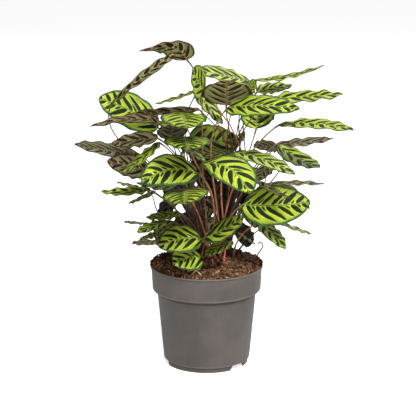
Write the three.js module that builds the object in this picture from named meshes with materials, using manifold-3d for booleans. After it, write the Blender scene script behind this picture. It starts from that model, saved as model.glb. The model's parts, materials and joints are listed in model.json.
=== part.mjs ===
// A calathea (peacock plant) in a grower's pot: a clump of arching leaf stalks, each
// with one waved leaf blade, standing in a filled pot with a foot ring.
// Millimetres, +Z up. The origin is the middle of the pot's foot, where it stands.
import * as THREE from 'three';
import { mergeVertices } from 'three/addons/utils/BufferGeometryUtils.js';
import Module from 'manifold-3d';

const wasm = await Module();
wasm.setup();

// Driving dimensions
const RIM_RADIUS = 85;
const POT_HEIGHT = 153;
const BAND_HEIGHT = 38; // the deep collar below the lip
const BAND_TAPER = 3.2; // how much narrower the collar is at its lower edge
const BODY_TOP_RADIUS = 75.1;
const BODY_FOOT_RADIUS = 65.3;
const FOOT_RADIUS = 63;
const FOOT_HEIGHT = 8;
const WALL = 1.5;
const SOIL_TOP = 152;
const SOIL_RADIUS = 82.6;
const SOIL_HEAP = 7; // the soil stands this much higher in the middle
const CLUMP_TOP = 156; // the rhizomes' tops, just below the heap of soil
const CLUMP_DEPTH = 24; // how thick the rhizomes are
const CLUMP_FOOT = CLUMP_TOP - CLUMP_DEPTH;
const CLUMP = { x: 12, y: 14, radiusX: 40, radiusY: 30 };
const BACK_SHOOT = { x: 6, y: 60, radiusX: 22, radiusY: 13 };
const BLADE_THICKNESS = 0.7;
const STALK_RADII = [2.2, 1.6, 1.25, 1.2, 0.8]; // from the foot up to the joint
const GAP = 0.3; // clearance between touching pieces
const POT_SIDES = 32;
const CLUMP_SIDES = 16;

const potPlastic = { color: 0x706862, roughness: 0.5, metalness: 0 };
const soilBrown = { color: 0x3b2a1e, roughness: 1, metalness: 0 };
const stalkBrown = { color: 0x7d4630, roughness: 0.6, metalness: 0 };
const leafGreen = { color: 0x9fc22f, roughness: 0.45, metalness: 0 };

// Every leaf: its name, the joint with its stalk, the middle of its midrib, its tip,
// and its form: width across the blade, roll about its length and twist along it in
// degrees, fold of the halves at the midrib in degrees, curl of the margins, height
// of the margin's waves, and where along it the blade is widest (0.5 is halfway).
const LEAVES = [
  // the crown
  ['top1', [-29, -5, 466], [-51, -30, 488], [-97, -60, 488],
    { width: 40, roll: 38, twist: -24, belly: 0.7 }],
  ['top2', [-140, -25, 403], [-90, -45, 450], [-42, -62, 487],
    { width: 22, roll: -30, twist: -40 }],
  ['top3', [-73, 30, 357], [-117, 22, 386], [-161, 20, 403], { width: 61, roll: -50 }],
  ['top4', [-11, 2, 390], [-66, -6, 388], [-121, -16, 385], { width: 44, roll: 28 }],
  ['top5', [-67, -45, 377], [-107, -54, 388], [-169, -62, 378], { width: 42, roll: 29 }],
  ['top6', [29, -5, 398], [29, -50, 426], [29, -85, 450], { width: 74 }],
  ['top7', [-4, 2, 417], [-12, -15, 435], [-21, -38, 457], { width: 50, roll: -90 }],
  ['top8', [-14, 34, 409], [2, 22, 393], [23, 6, 367], { width: 42, roll: -5 }],
  ['top9', [65, 64, 421], [27, 46, 433], [-14, 28, 445], { width: 56, roll: -20 }],
  ['top10', [75, 76, 421], [126, 64, 429], [176, 50, 448], { width: 32, roll: 5 }],
  ['top11', [58, 14, 413], [66, 12, 421], [74, 8, 432], { width: 34, roll: 40 }],
  ['top12', [77, 88, 400], [100, 94, 405], [131, 100, 408], { width: 44, roll: 10 }],
  ['top13', [-16, 60, 407], [-43, 70, 395], [-79, 80, 383], { width: 32, roll: -5 }],
  // the right side
  ['right1', [89, 4, 406], [143, -6, 411], [200, -18, 417], { width: 48, roll: 10, wave: 2.4 }],
  ['right2', [32, -58, 406], [79, -78, 412], [133, -92, 410],
    { width: 60, roll: 20, belly: 0.7 }],
  ['right3', [74, 12, 359], [77, 44, 372], [85, 85, 380], { width: 52, belly: 0.95 }],
  ['right4', [106, -56, 380], [154, -93, 389], [207, -134, 388], { width: 40, roll: 10 }],
  ['right5', [104, 20, 334], [147, 40, 332], [192, 60, 333], { width: 46, roll: -30 }],
  ['right6', [113, 55, 320], [93, 62, 321], [72, 70, 318], { width: 46, roll: 35 }],
  ['right7', [107, -5, 336], [136, -25, 321], [165, -50, 314], { width: 46, roll: 5 }],
  ['right8', [40, -40, 335], [80, -66, 331], [127, -98, 315], { width: 46, roll: 5 }],
  ['right9', [91, 0, 308], [83, 10, 292], [73, 20, 275], { width: 46, roll: 5 }],
  ['right10', [84, 40, 266], [130, 50, 266], [180, 60, 262], { width: 38, roll: -25 }],
  ['right11', [70, -30, 289], [90, -60, 286], [121, -90, 278], { width: 28, roll: -45 }],
  ['right12', [54, -40, 256], [101, -55, 258], [152, -60, 265], { width: 68, roll: 50 }],
  ['right13', [103, 40, 209], [130, 55, 195], [162, 80, 179], { width: 34, roll: 10 }],
  ['right14', [79, -20, 224], [96, -40, 212], [116, -60, 193], { width: 38, roll: -5 }],
  ['right15', [44, 20, 199], [60, 25, 186], [75, 30, 175], { width: 18, roll: 10 }],
  ['right16', [83, 0, 269], [123, 0, 270], [154, 0, 238], { width: 40, roll: -25 }],
  // the left side
  ['left1', [-103, 20, 320], [-150, 52, 317], [-202, 84, 318], { width: 58, roll: 37 }],
  ['left2', [-72, -20, 352], [-105, -26, 350], [-140, -32, 346], { width: 52, roll: 38 }],
  ['left3', [-52, 25, 340], [-51, -4, 359], [-46, -32, 375], { width: 46 }],
  ['left4', [-70, -40, 350], [-94, -55, 330], [-123, -70, 310], { width: 46, roll: 10 }],
  ['left5', [-86, 38, 286], [-116, 40, 295], [-151, 42, 302], { width: 54, roll: 55 }],
  ['left6', [-85, 0, 268], [-121, 10, 263], [-159, 20, 261], { width: 40, roll: -5 }],
  ['left7', [-94, 80, 249], [-117, 94, 251], [-139, 108, 254], { width: 30, roll: 10 }],
  ['left8', [-78, 30, 256], [-98, 40, 246], [-118, 55, 235], { width: 40, roll: -10 }],
  ['left9', [-45, -30, 281], [-74, -45, 285], [-103, -55, 292], { width: 44, roll: -5 }],
  ['left10', [-40, -20, 238], [-65, -25, 234], [-90, -30, 233], { width: 44, roll: -2 }],
  ['left11', [-53, -40, 231], [-76, -60, 229], [-100, -80, 223], { width: 46, roll: 5 }],
  ['left12', [-73, 0, 198], [-86, 10, 194], [-100, 20, 188], { width: 36, roll: -10 }],
  ['left13', [-71, 30, 180], [-92, 45, 173], [-115, 60, 167], { width: 36, roll: 25 }],
  ['left14', [-93, 60, 200], [-110, 80, 195], [-127, 100, 190], { width: 30, roll: 20 }],
  // the middle
  ['cen1', [-38, -15, 389], [-33, -68, 390], [-28, -122, 388], { width: 68 }],
  ['cen2', [-32, -30, 356], [-28, -85, 360], [-26, -138, 361], { width: 68 }],
  ['cen3', [-25, 42, 331], [11, 55, 330], [49, 68, 332], { width: 72, roll: 35 }],
  ['cen4', [-30, -50, 283], [-30, -112, 289], [-31, -168, 289], { width: 70, roll: 8, wave: 2.2 }],
  ['cen5', [50, 88, 320], [54, 94, 328], [57, 98, 338], { width: 26, roll: -35 }],
  ['cen6', [-33, -20, 337], [-19, -40, 332], [-2, -60, 325], { width: 30, roll: -15 }],
  ['cen7', [44, 14, 317], [15, 6, 322], [-14, 0, 322], { width: 44, roll: -5 }],
  // the front
  ['front1', [-13, -60, 308], [-52, -80, 318], [-94, -98, 303], { width: 62, roll: -35 }],
  ['front2', [-8, -75, 325], [32, -100, 325], [61, -138, 297], { width: 64, roll: 15, belly: 1.15 }],
  ['front3', [-2, -70, 214], [27, -78, 229], [54, -80, 248], { width: 50, roll: 25 }],
  ['front4', [36, -50, 203], [15, -65, 195], [-2, -75, 187], { width: 44, roll: 5 }],
  ['front5', [-9, -60, 209], [-39, -72, 212], [-71, -80, 202], { width: 58, roll: -30 }],
  ['front6', [-8, -55, 179], [-29, -70, 182], [-49, -80, 175], { width: 50, roll: -35 }],
  // the back
  ['back1', [-16, 80, 316], [-11, 122, 308], [-6, 150, 268], { width: 60 }],
  ['back2', [-47, 70, 292], [-66, 106, 282], [-82, 128, 240], { width: 58 }],
  ['back3', [33, 70, 288], [54, 106, 278], [72, 130, 238], { width: 56 }],
  ['back4', [-6, 72, 236], [-9, 106, 224], [-12, 124, 178], { width: 62 }],
  ['back5', [46, 70, 226], [62, 92, 214], [76, 104, 180], { width: 50 }],
  ['back6', [-46, 66, 196], [-60, 90, 186], [-70, 104, 152], { width: 52 }],
  ['back7', [-28, 62, 268], [-40, 96, 258], [-54, 118, 212], { width: 60 }],
  ['back8', [14, 62, 262], [22, 98, 252], [32, 120, 206], { width: 60 }],
  ['back9', [16, 100, 384], [27, 128, 387], [40, 154, 380], { width: 50 }],
  ['back10', [-43, 60, 350], [-59, 96, 350], [-76, 132, 345], { width: 50 }],
  ['back11', [60, 95, 374], [75, 131, 373], [93, 168, 370], { width: 48 }],
  ['back12', [-3, 66, 204], [8, 96, 196], [20, 112, 156], { width: 56 }],
  // the back, low in the middle of the clump
  ['back13', [-40, 62, 247], [-55, 76, 231], [-66, 86, 199], { width: 50 }],
  ['back14', [43, 62, 206], [54, 74, 184], [62, 82, 155], { width: 50 }],
  ['back15', [20, 60, 253], [27, 68, 229], [30, 72, 189], { width: 48 }],
  ['back16', [51, 62, 268], [61, 74, 240], [69, 82, 196], { width: 46 }],
  ['back17', [-6, 60, 303], [-3, 68, 282], [-1, 74, 246], { width: 48 }],
  ['back18', [-26, 60, 218], [-29, 70, 196], [-32, 76, 160], { width: 48 }],
];

const PLAIN_FORM = { roll: 0, twist: 0, fold: 8, curl: 0.12, wave: 1.4, belly: 0.86 };
const WIDE_COLUMNS = [-1, -0.5, 0, 0.5, 1];
const NARROW_COLUMNS = [-1, 0, 1];
const NARROW_WIDTH = 62; // blades narrower than this are drawn with the narrow columns
const ROW_STATIONS = [0.04, 0.125, 0.25, 0.375, 0.5, 0.625, 0.75, 0.875, 0.95];
const WAVE_STATION = 0.125; // the margin turns from crest to trough at each of these

const radians = THREE.MathUtils.degToRad;
const point = (p) => new THREE.Vector3(...p);

// ---- solids ----

function solidFrom(geometry) {
  const bare = geometry.clone();
  bare.deleteAttribute('normal');
  bare.deleteAttribute('uv');
  const merged = mergeVertices(bare, 1e-4);
  const index = merged.index.array;
  return new wasm.Manifold(new wasm.Mesh({
    numProp: 3,
    vertProperties: new Float32Array(merged.attributes.position.array),
    triVerts: new Uint32Array(index),
  }));
}

function geometryFrom(solid) {
  const mesh = solid.getMesh();
  const geometry = new THREE.BufferGeometry();
  geometry.setAttribute('position', new THREE.BufferAttribute(mesh.vertProperties, 3));
  geometry.setIndex(new THREE.BufferAttribute(mesh.triVerts, 1));
  return geometry;
}

function indexedGeometry(points, triangles) {
  const geometry = new THREE.BufferGeometry();
  const flat = points.flatMap((p) => [p.x, p.y, p.z]);
  geometry.setAttribute('position', new THREE.Float32BufferAttribute(flat, 3));
  geometry.setIndex(triangles.flat());
  return geometry;
}

function lathed(profile, sides) {
  const geometry = new THREE.LatheGeometry(profile.map(([r, z]) => new THREE.Vector2(r, z)), sides);
  return solidFrom(geometry.rotateX(Math.PI / 2));
}

function named(name, geometry, look) {
  const mesh = new THREE.Mesh(geometry, new THREE.MeshStandardMaterial(look));
  mesh.name = name;
  return mesh;
}

// ---- pot ----

// Wall from the lip down: a small bead, the collar with its rounded lower edge, the
// tapered body, and a foot ring set in a little, with the floor raised above it.
function potWall() {
  const bandFoot = POT_HEIGHT - BAND_HEIGHT;
  const bandRadius = RIM_RADIUS - BAND_TAPER;
  const beadHeight = 2;
  const edge = 0.6; // how far the small edges are taken off
  const corner = 3; // and the collar's lower edge
  const ringWidth = 2.2;
  const outside = [
    [RIM_RADIUS - edge, POT_HEIGHT],
    [RIM_RADIUS, POT_HEIGHT - edge],
    [RIM_RADIUS, POT_HEIGHT - beadHeight],
    [RIM_RADIUS - edge, POT_HEIGHT - beadHeight - edge],
    [bandRadius, bandFoot + corner],
    [bandRadius - corner * 0.3, bandFoot + corner * 0.3],
    [bandRadius - corner, bandFoot],
    [BODY_TOP_RADIUS + edge, bandFoot - edge],
    [BODY_TOP_RADIUS, bandFoot - 2 * edge],
    [BODY_FOOT_RADIUS, FOOT_HEIGHT],
    [FOOT_RADIUS + edge, FOOT_HEIGHT - edge],
    [FOOT_RADIUS, 0],
  ];
  const inside = [
    [FOOT_RADIUS - ringWidth, 0],
    [FOOT_RADIUS - ringWidth, FOOT_HEIGHT],
    [0, FOOT_HEIGHT],
    [0, FOOT_HEIGHT + WALL],
    [BODY_FOOT_RADIUS - WALL, FOOT_HEIGHT + WALL],
    [BODY_TOP_RADIUS - WALL, bandFoot],
    [bandRadius - WALL, bandFoot + WALL],
    [RIM_RADIUS - WALL - edge, POT_HEIGHT - beadHeight],
    [RIM_RADIUS - WALL, POT_HEIGHT - edge],
    [RIM_RADIUS - WALL + edge, POT_HEIGHT],
  ];
  const profile = [...outside, ...inside, outside[0]];
  return lathed(profile.reverse(), POT_SIDES);
}

// Three drain notches through the foot ring, wider at the floor than at the top.
function drainNotch(angle) {
  const reach = 2 * FOOT_RADIUS;
  const bottomHalf = 16;
  const topHalf = 10.5;
  const top = FOOT_HEIGHT - 0.8;
  const below = -1; // so that the cut passes right through the ring's foot
  const shape = new THREE.Shape([
    new THREE.Vector2(-bottomHalf, below),
    new THREE.Vector2(bottomHalf, below),
    new THREE.Vector2(topHalf, top),
    new THREE.Vector2(-topHalf, top),
  ]);
  const geometry = new THREE.ExtrudeGeometry(shape, { depth: reach, bevelEnabled: false });
  geometry.rotateX(Math.PI / 2);
  geometry.rotateZ(radians(angle));
  return solidFrom(geometry);
}

// Drain holes through the raised floor, in a ring.
function drainHole(angle) {
  const radius = 5;
  const ringRadius = 40;
  const sides = 10;
  const geometry = new THREE.CylinderGeometry(radius, radius, 4 * FOOT_HEIGHT, sides);
  geometry.rotateX(Math.PI / 2);
  geometry.translate(ringRadius * Math.cos(angle), ringRadius * Math.sin(angle), 0);
  return solidFrom(geometry);
}

function pot() {
  const notchAngles = [48, 162, -79]; // seen from above, turned from the front
  const holes = 6;
  let solid = potWall();
  for (const angle of notchAngles) {
    solid = solid.subtract(drainNotch(angle));
  }
  for (let i = 0; i < holes; i += 1) {
    solid = solid.subtract(drainHole(((i + 0.5) / holes) * 2 * Math.PI));
  }
  return solid;
}

// ---- soil and clump ----

function clumpOutline({ x, y, radiusX, radiusY }, grow) {
  const outline = [];
  for (let i = 0; i < CLUMP_SIDES; i += 1) {
    const angle = (i / CLUMP_SIDES) * 2 * Math.PI;
    const factor = 1 + 0.07 * Math.sin(3 * angle + 1) + 0.05 * Math.sin(5 * angle);
    outline.push(new THREE.Vector2(
      x + (radiusX * factor + grow) * Math.cos(angle),
      y + (radiusY * factor + grow) * Math.sin(angle),
    ));
  }
  return new THREE.Shape(outline);
}

// The rhizome that a clump's stalks grow from, mostly sunk in the soil.
function rhizome(clump) {
  const form = { depth: CLUMP_DEPTH, bevelEnabled: false };
  const geometry = new THREE.ExtrudeGeometry(clumpOutline(clump, 0), form);
  return solidFrom(geometry.translate(0, 0, CLUMP_FOOT));
}

const soilHeight = (x, y) => {
  const farness = (x * x + y * y) / (SOIL_RADIUS * SOIL_RADIUS);
  const nearness = 1 - farness * farness;
  const lumps = Math.sin(x * 0.21 + 1) * Math.cos(y * 0.19) + 0.6 * Math.sin(x * 0.09 - y * 0.13);
  return SOIL_TOP + SOIL_HEAP * nearness + 1.1 * lumps * Math.min(1, nearness * 3);
};

// Soil fills the pot to just under the lip and is heaped in the middle.
function soil() {
  const rings = 5;
  const bandFoot = POT_HEIGHT - BAND_HEIGHT;
  const bandRadius = RIM_RADIUS - BAND_TAPER;
  const side = [
    [0, FOOT_HEIGHT + WALL + GAP],
    [BODY_FOOT_RADIUS - WALL - 2 * GAP, FOOT_HEIGHT + WALL + GAP],
    [BODY_TOP_RADIUS - WALL - 2 * GAP, bandFoot + GAP],
    [bandRadius - WALL - 2 * GAP, bandFoot + WALL + 2 * GAP],
    [SOIL_RADIUS, SOIL_TOP],
  ];
  const top = [];
  for (let i = 1; i <= rings; i += 1) {
    top.push([SOIL_RADIUS * (1 - i / rings), SOIL_TOP]);
  }
  const geometry = new THREE.LatheGeometry(
    [...side, ...top].map(([r, z]) => new THREE.Vector2(r, z)), POT_SIDES / 2);
  geometry.rotateX(Math.PI / 2);
  const places = geometry.attributes.position;
  for (let i = 0; i < places.count; i += 1) {
    if (Math.abs(places.getZ(i) - SOIL_TOP) < 0.01) {
      places.setZ(i, soilHeight(places.getX(i), places.getY(i)));
    }
  }
  let solid = solidFrom(geometry);
  for (const clump of [CLUMP, BACK_SHOOT]) {
    const outline = clumpOutline(clump, GAP);
    const hole = new THREE.ExtrudeGeometry(outline, { depth: POT_HEIGHT, bevelEnabled: false });
    hole.translate(0, 0, CLUMP_FOOT - GAP);
    solid = solid.subtract(solidFrom(hole));
  }
  return solid;
}

// ---- leaves ----

function blankOutline(station, belly) {
  const lift = Math.sin(Math.PI * station ** belly);
  return Math.max(lift, 0) ** (0.5 + 0.12 * station ** 4);
}

// The midrib is a curve through joint, middle and tip. Across it the blade folds up
// at the midrib, curls down towards the margins, and waves more the nearer the margin.
class Blade {
  constructor([name, joint, middle, tip, form]) {
    this.name = name;
    this.form = { ...PLAIN_FORM, ...form };
    this.joint = point(joint);
    this.tip = point(tip);
    const between = this.joint.clone().add(this.tip).multiplyScalar(0.5);
    const control = point(middle).multiplyScalar(2).sub(between);
    this.midrib = new THREE.QuadraticBezierCurve3(this.joint, control, this.tip);
    const chord = this.tip.clone().sub(this.joint).normalize();
    this.lift = new THREE.Vector3(0, 0, 1).addScaledVector(chord, -chord.z).normalize();
    this.side = chord.clone().cross(this.lift);
    this.fused = name.startsWith('back'); // the back shoot's leaves are one piece with it
    this.columns = this.fused || this.form.width < NARROW_WIDTH ? NARROW_COLUMNS : WIDE_COLUMNS;
  }

  axes(station) {
    const turn = radians(this.form.roll + this.form.twist * (station - 0.5));
    const along = this.midrib.getTangent(station);
    const across = this.side.clone().multiplyScalar(Math.cos(turn));
    across.addScaledVector(this.lift, -Math.sin(turn));
    across.addScaledVector(along, -across.dot(along)).normalize();
    return { along, across, up: across.clone().cross(along) };
  }

  place(station, column) {
    const { width, fold, curl, wave, belly } = this.form;
    const { across, up } = this.axes(station);
    const half = (width / 2) * blankOutline(station, belly);
    const spread = Math.abs(column);
    const slope = radians(fold);
    const fade = Math.min(1, half / (width * 0.3));
    const ripple = wave * column * column * Math.cos((Math.PI * station) / WAVE_STATION) * fade;
    const height = half * (spread * Math.sin(slope) - curl * column * column) + ripple;
    const place = this.midrib.getPoint(station);
    place.addScaledVector(across, half * column * Math.cos(slope));
    return place.addScaledVector(up, height);
  }

  // Both faces share one split into triangles, so a waved blade keeps its thickness.
  geometry() {
    const rows = ROW_STATIONS.length;
    const wide = this.columns.length;
    const points = [];
    for (const face of [1, -1]) {
      const shift = (face * BLADE_THICKNESS) / 2;
      points.push(this.joint.clone().addScaledVector(this.axes(0).up, shift));
      for (const station of ROW_STATIONS) {
        const { up } = this.axes(station);
        for (const column of this.columns) {
          points.push(this.place(station, column).addScaledVector(up, shift));
        }
      }
      points.push(this.tip.clone().addScaledVector(this.axes(1).up, shift));
    }
    const count = rows * wide + 2;
    const at = (row, column) => 1 + row * wide + column;
    const faceTriangles = [];
    for (let column = 0; column < wide - 1; column += 1) {
      faceTriangles.push([0, at(0, column + 1), at(0, column)]);
      faceTriangles.push([at(rows - 1, column), at(rows - 1, column + 1), count - 1]);
      for (let row = 0; row < rows - 1; row += 1) {
        const [a, b] = [at(row, column), at(row, column + 1)];
        const [c, d] = [at(row + 1, column), at(row + 1, column + 1)];
        faceTriangles.push([a, b, c], [b, d, c]);
      }
    }
    const rim = [0];
    for (let row = 0; row < rows; row += 1) rim.push(at(row, 0));
    rim.push(count - 1);
    for (let row = rows - 1; row >= 0; row -= 1) rim.push(at(row, wide - 1));
    const triangles = [...faceTriangles];
    for (const [a, b, c] of faceTriangles) triangles.push([a + count, c + count, b + count]);
    for (let i = 0; i < rim.length; i += 1) {
      const [a, b] = [rim[i], rim[(i + 1) % rim.length]];
      triangles.push([a, b, a + count], [b, b + count, a + count]);
    }
    return indexedGeometry(points, triangles);
  }
}

// ---- stalks ----

const LOW_SWAYS = [0, 20, 40]; // how far a stalk may bend aside low down, in the order tried
const HIGH_SWAYS = [0, 25, 50, 80, 115]; // and halfway up
const SWAY_WAYS = 8;
const STALK_CLEARANCE = 2.7; // from a stalk's middle line to any blade
const STALK_SPACING = 4; // between the middle lines of stalks of different shoots
const SAMPLE_STEP = 3;
const JOINT_GAP = 1; // from the joint back to the middle of the stalk's end
const FUSED_OVERLAP = 4; // how far a stalk runs on into a blade that it is fused to
const FOOT_SINK = 3; // how deep a stalk starts in its rhizome
const OWN_BLADE_FREE = 6; // the last stretch of a stalk, which may be near its own blade
const JOIN_TOLERANCE = 0.02; // corners nearer to each other than this become one

// A smooth curve that leaves its first point towards the second and reaches its last
// point from the fourth, whatever the middle one does.
class StalkCurve extends THREE.Curve {
  constructor(controls) {
    super();
    this.controls = controls;
  }

  getPoint(t, target = new THREE.Vector3()) {
    const u = 1 - t;
    const shares = [u ** 4, 4 * u ** 3 * t, 6 * u * u * t * t, 4 * u * t ** 3, t ** 4];
    target.set(0, 0, 0);
    this.controls.forEach((control, i) => target.addScaledVector(control, shares[i]));
    return target;
  }
}

// A stalk rises from its shoot on the leaf's side, the lower leaves' from further out,
// and arrives at the joint leaning the way that the blade points.
function stalkCurve(blade, order, shoot, sway) {
  const scatter = 0.5 * Math.sin(7.3 * order);
  const bearing = Math.atan2(blade.joint.y - shoot.y, blade.joint.x - shoot.x) + scatter;
  const reach = THREE.MathUtils.clamp(1.05 - (blade.joint.z - SOIL_TOP) / 380, 0.3, 0.85);
  const foot = new THREE.Vector3(
    shoot.x + reach * (shoot.radiusX - 7) * Math.cos(bearing),
    shoot.y + reach * (shoot.radiusY - 7) * Math.sin(bearing),
    CLUMP_TOP - FOOT_SINK,
  );
  const span = blade.joint.clone().sub(foot);
  const rise = span.length();
  const heading = blade.tip.clone().sub(blade.joint).setZ(0).normalize();
  const arrival = span.clone().normalize().addScaledVector(heading, 0.9).normalize();
  const end = blade.joint.clone();
  if (blade.fused) end.add(blade.axes(0).along.multiplyScalar(FUSED_OVERLAP));
  else end.addScaledVector(arrival, -JOINT_GAP);
  const first = foot.clone().add(new THREE.Vector3(0, 0, 0.35 * rise)).add(sway.low);
  const last = end.clone().addScaledVector(arrival, -0.25 * rise);
  const middle = first.clone().lerp(last, 0.5).add(sway.high);
  return new StalkCurve([foot, first, middle, last, end]);
}

function bends(sizes) {
  const offsets = [new THREE.Vector3()];
  for (const size of sizes.slice(1)) {
    for (let way = 0; way < SWAY_WAYS; way += 1) {
      const angle = (way / SWAY_WAYS) * 2 * Math.PI;
      offsets.push(new THREE.Vector3(size * Math.cos(angle), size * Math.sin(angle), 0));
    }
  }
  return offsets;
}

function bladeTriangles(blade) {
  const places = blade.geometry();
  const index = places.index.array;
  const at = (i) => new THREE.Vector3().fromBufferAttribute(places.attributes.position, i);
  const faceCount = (2 + 2 * (ROW_STATIONS.length - 1)) * (blade.columns.length - 1);
  const triangles = [];
  for (let i = 0; i < faceCount; i += 1) {
    triangles.push(new THREE.Triangle(at(index[3 * i]), at(index[3 * i + 1]), at(index[3 * i + 2])));
  }
  places.computeBoundingBox();
  return { blade, triangles, box: places.boundingBox.clone().expandByScalar(STALK_CLEARANCE) };
}

// Places along the straight stretches of a stalk, a few millimetres apart.
function stalkSamples(curve) {
  const corners = curve.getPoints(STALK_RADII.length - 1);
  const samples = [];
  for (let i = 1; i < corners.length; i += 1) {
    const steps = Math.ceil(corners[i].distanceTo(corners[i - 1]) / SAMPLE_STEP);
    for (let k = 0; k < steps; k += 1) {
      samples.push(corners[i - 1].clone().lerp(corners[i], k / steps));
    }
  }
  return samples;
}

function isClear(curve, blade, surfaces, others) {
  const nearest = new THREE.Vector3();
  for (const sample of stalkSamples(curve)) {
    const left = sample.distanceTo(blade.joint);
    for (const surface of surfaces) {
      if (surface.blade === blade && left < OWN_BLADE_FREE) continue;
      if (!surface.box.containsPoint(sample)) continue;
      for (const triangle of surface.triangles) {
        triangle.closestPointToPoint(sample, nearest);
        if (nearest.distanceTo(sample) < STALK_CLEARANCE) return false;
      }
    }
    for (const other of others) {
      for (const place of other) {
        if (place.distanceTo(sample) < STALK_SPACING) return false;
      }
    }
  }
  return true;
}

function routeStalk(blade, order, shoot, surfaces, others) {
  for (const high of bends(HIGH_SWAYS)) {
    for (const low of bends(LOW_SWAYS)) {
      const curve = stalkCurve(blade, order, shoot, { low, high });
      if (isClear(curve, blade, surfaces, others)) return curve;
    }
  }
  console.warn('no clear way for the stalk of', blade.name);
  return stalkCurve(blade, order, shoot, { low: new THREE.Vector3(), high: new THREE.Vector3() });
}

// A four-sided tube, thickest at its foot and drawn in at the joint.
function stalkSolid(curve) {
  const steps = STALK_RADII.length - 1;
  const frames = curve.computeFrenetFrames(steps, false);
  const points = [];
  for (let i = 0; i <= steps; i += 1) {
    const middle = curve.getPoint(i / steps);
    for (const [side, other] of [[1, 0], [0, 1], [-1, 0], [0, -1]]) {
      const corner = middle.clone().addScaledVector(frames.normals[i], side * STALK_RADII[i]);
      points.push(corner.addScaledVector(frames.binormals[i], other * STALK_RADII[i]));
    }
  }
  const triangles = [[0, 2, 1], [0, 3, 2]];
  const last = 4 * steps;
  triangles.push([last, last + 1, last + 2], [last, last + 2, last + 3]);
  for (let i = 0; i < steps; i += 1) {
    for (let k = 0; k < 4; k += 1) {
      const [a, b] = [4 * i + k, 4 * i + ((k + 1) % 4)];
      triangles.push([a, b, b + 4], [a, b + 4, a + 4]);
    }
  }
  return solidFrom(indexedGeometry(points, triangles));
}

// The one outer body of joined pieces, with any tiny hollow sealed in it filled.
function wholeOf(pieces) {
  const joined = pieces.reduce((all, piece) => all.add(piece));
  const bodies = joined.simplify(JOIN_TOLERANCE).decompose();
  return bodies.reduce((largest, body) => (body.volume() > largest.volume() ? body : largest));
}

// ---- assembly ----

const blades = LEAVES.map((leaf) => new Blade(leaf));
const surfaces = blades.map(bladeTriangles);
const backBlades = blades.filter((blade) => blade.fused);
const frontBlades = blades.filter((blade) => !blade.fused);

const routes = frontBlades.map((blade, i) => routeStalk(blade, i, CLUMP, surfaces, []));
const routePoints = routes.map(stalkSamples);
const backRoutes = backBlades.map((blade, i) => routeStalk(blade, i, BACK_SHOOT, surfaces, routePoints));

const clump = wholeOf([rhizome(CLUMP), ...routes.map(stalkSolid)]);
const backShoot = wholeOf([
  rhizome(BACK_SHOOT),
  ...backRoutes.map(stalkSolid),
  ...backBlades.map((blade) => solidFrom(blade.geometry())),
]);

const calathea = new THREE.Group();
calathea.add(named('pot', geometryFrom(pot()), potPlastic));
calathea.add(named('soil', geometryFrom(soil()), soilBrown));
calathea.add(named('clump', geometryFrom(clump), stalkBrown));
calathea.add(named('back_shoot', geometryFrom(backShoot), leafGreen));
for (const blade of frontBlades) {
  calathea.add(named(`leaf_${blade.name}`, blade.geometry(), leafGreen));
}

export default calathea;
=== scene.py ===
"""A calathea (peacock plant) in a grower's pot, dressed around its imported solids.

Metres, +Z up. The origin is the middle of the pot's foot, and -Y is the front.
"""

import json
import math

import bmesh
import bpy
import numpy as np
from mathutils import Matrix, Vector, noise
from mathutils.bvhtree import BVHTree

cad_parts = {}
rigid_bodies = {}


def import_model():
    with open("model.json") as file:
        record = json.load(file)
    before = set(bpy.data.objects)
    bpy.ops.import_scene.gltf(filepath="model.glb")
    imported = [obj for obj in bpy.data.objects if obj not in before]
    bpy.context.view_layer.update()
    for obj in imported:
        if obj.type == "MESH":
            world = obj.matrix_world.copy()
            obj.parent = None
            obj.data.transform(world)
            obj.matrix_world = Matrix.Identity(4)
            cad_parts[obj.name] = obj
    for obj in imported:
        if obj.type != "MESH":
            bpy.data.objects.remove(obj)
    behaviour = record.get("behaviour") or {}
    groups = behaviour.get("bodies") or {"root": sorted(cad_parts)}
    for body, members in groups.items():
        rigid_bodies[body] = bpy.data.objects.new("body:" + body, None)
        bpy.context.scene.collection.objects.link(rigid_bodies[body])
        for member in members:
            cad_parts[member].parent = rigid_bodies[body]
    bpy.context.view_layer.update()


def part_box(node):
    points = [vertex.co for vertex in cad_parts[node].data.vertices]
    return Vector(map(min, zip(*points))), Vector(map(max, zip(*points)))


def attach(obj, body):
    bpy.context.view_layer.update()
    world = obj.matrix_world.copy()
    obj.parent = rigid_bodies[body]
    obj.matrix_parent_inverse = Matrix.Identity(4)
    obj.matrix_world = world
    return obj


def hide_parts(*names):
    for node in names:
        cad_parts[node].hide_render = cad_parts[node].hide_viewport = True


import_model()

scene = bpy.context.scene


# ---- The pot ----
# A thin injection-moulded grower's pot of grey-brown plastic: a small bead at the lip,
# a deep collar with a rounded lower edge, a tapered body and a foot ring with three
# drain notches. The wall is one skin, 1.5 mm thick.

pot_low, pot_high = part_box("pot")
RIM_RADIUS = (pot_high.x - pot_low.x) / 2
POT_HEIGHT = pot_high.z
BAND_FOOT = POT_HEIGHT - 0.038
BAND_FOOT_RADIUS = RIM_RADIUS - 0.0032
BODY_TOP_RADIUS = 0.0751
BODY_FOOT_RADIUS = 0.0653
FOOT_RADIUS = 0.063
FOOT_HEIGHT = 0.008
POT_WALL = 0.0015
BEAD = 0.0024
NOTCH_TURNS = (48, 162, -79)
HOLES = 6
POT_SIDES = 160

POT_GREY = (93, 85, 81)
POT_DARK = (76, 70, 66)
# the pale dust colour, also used for the painted highlight lines
POT_DUST_AND_HIGHLIGHT = (124, 115, 108)
# the colour of the painted shade lines
POT_PAINTED_SHADE = (34, 31, 27)
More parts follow.
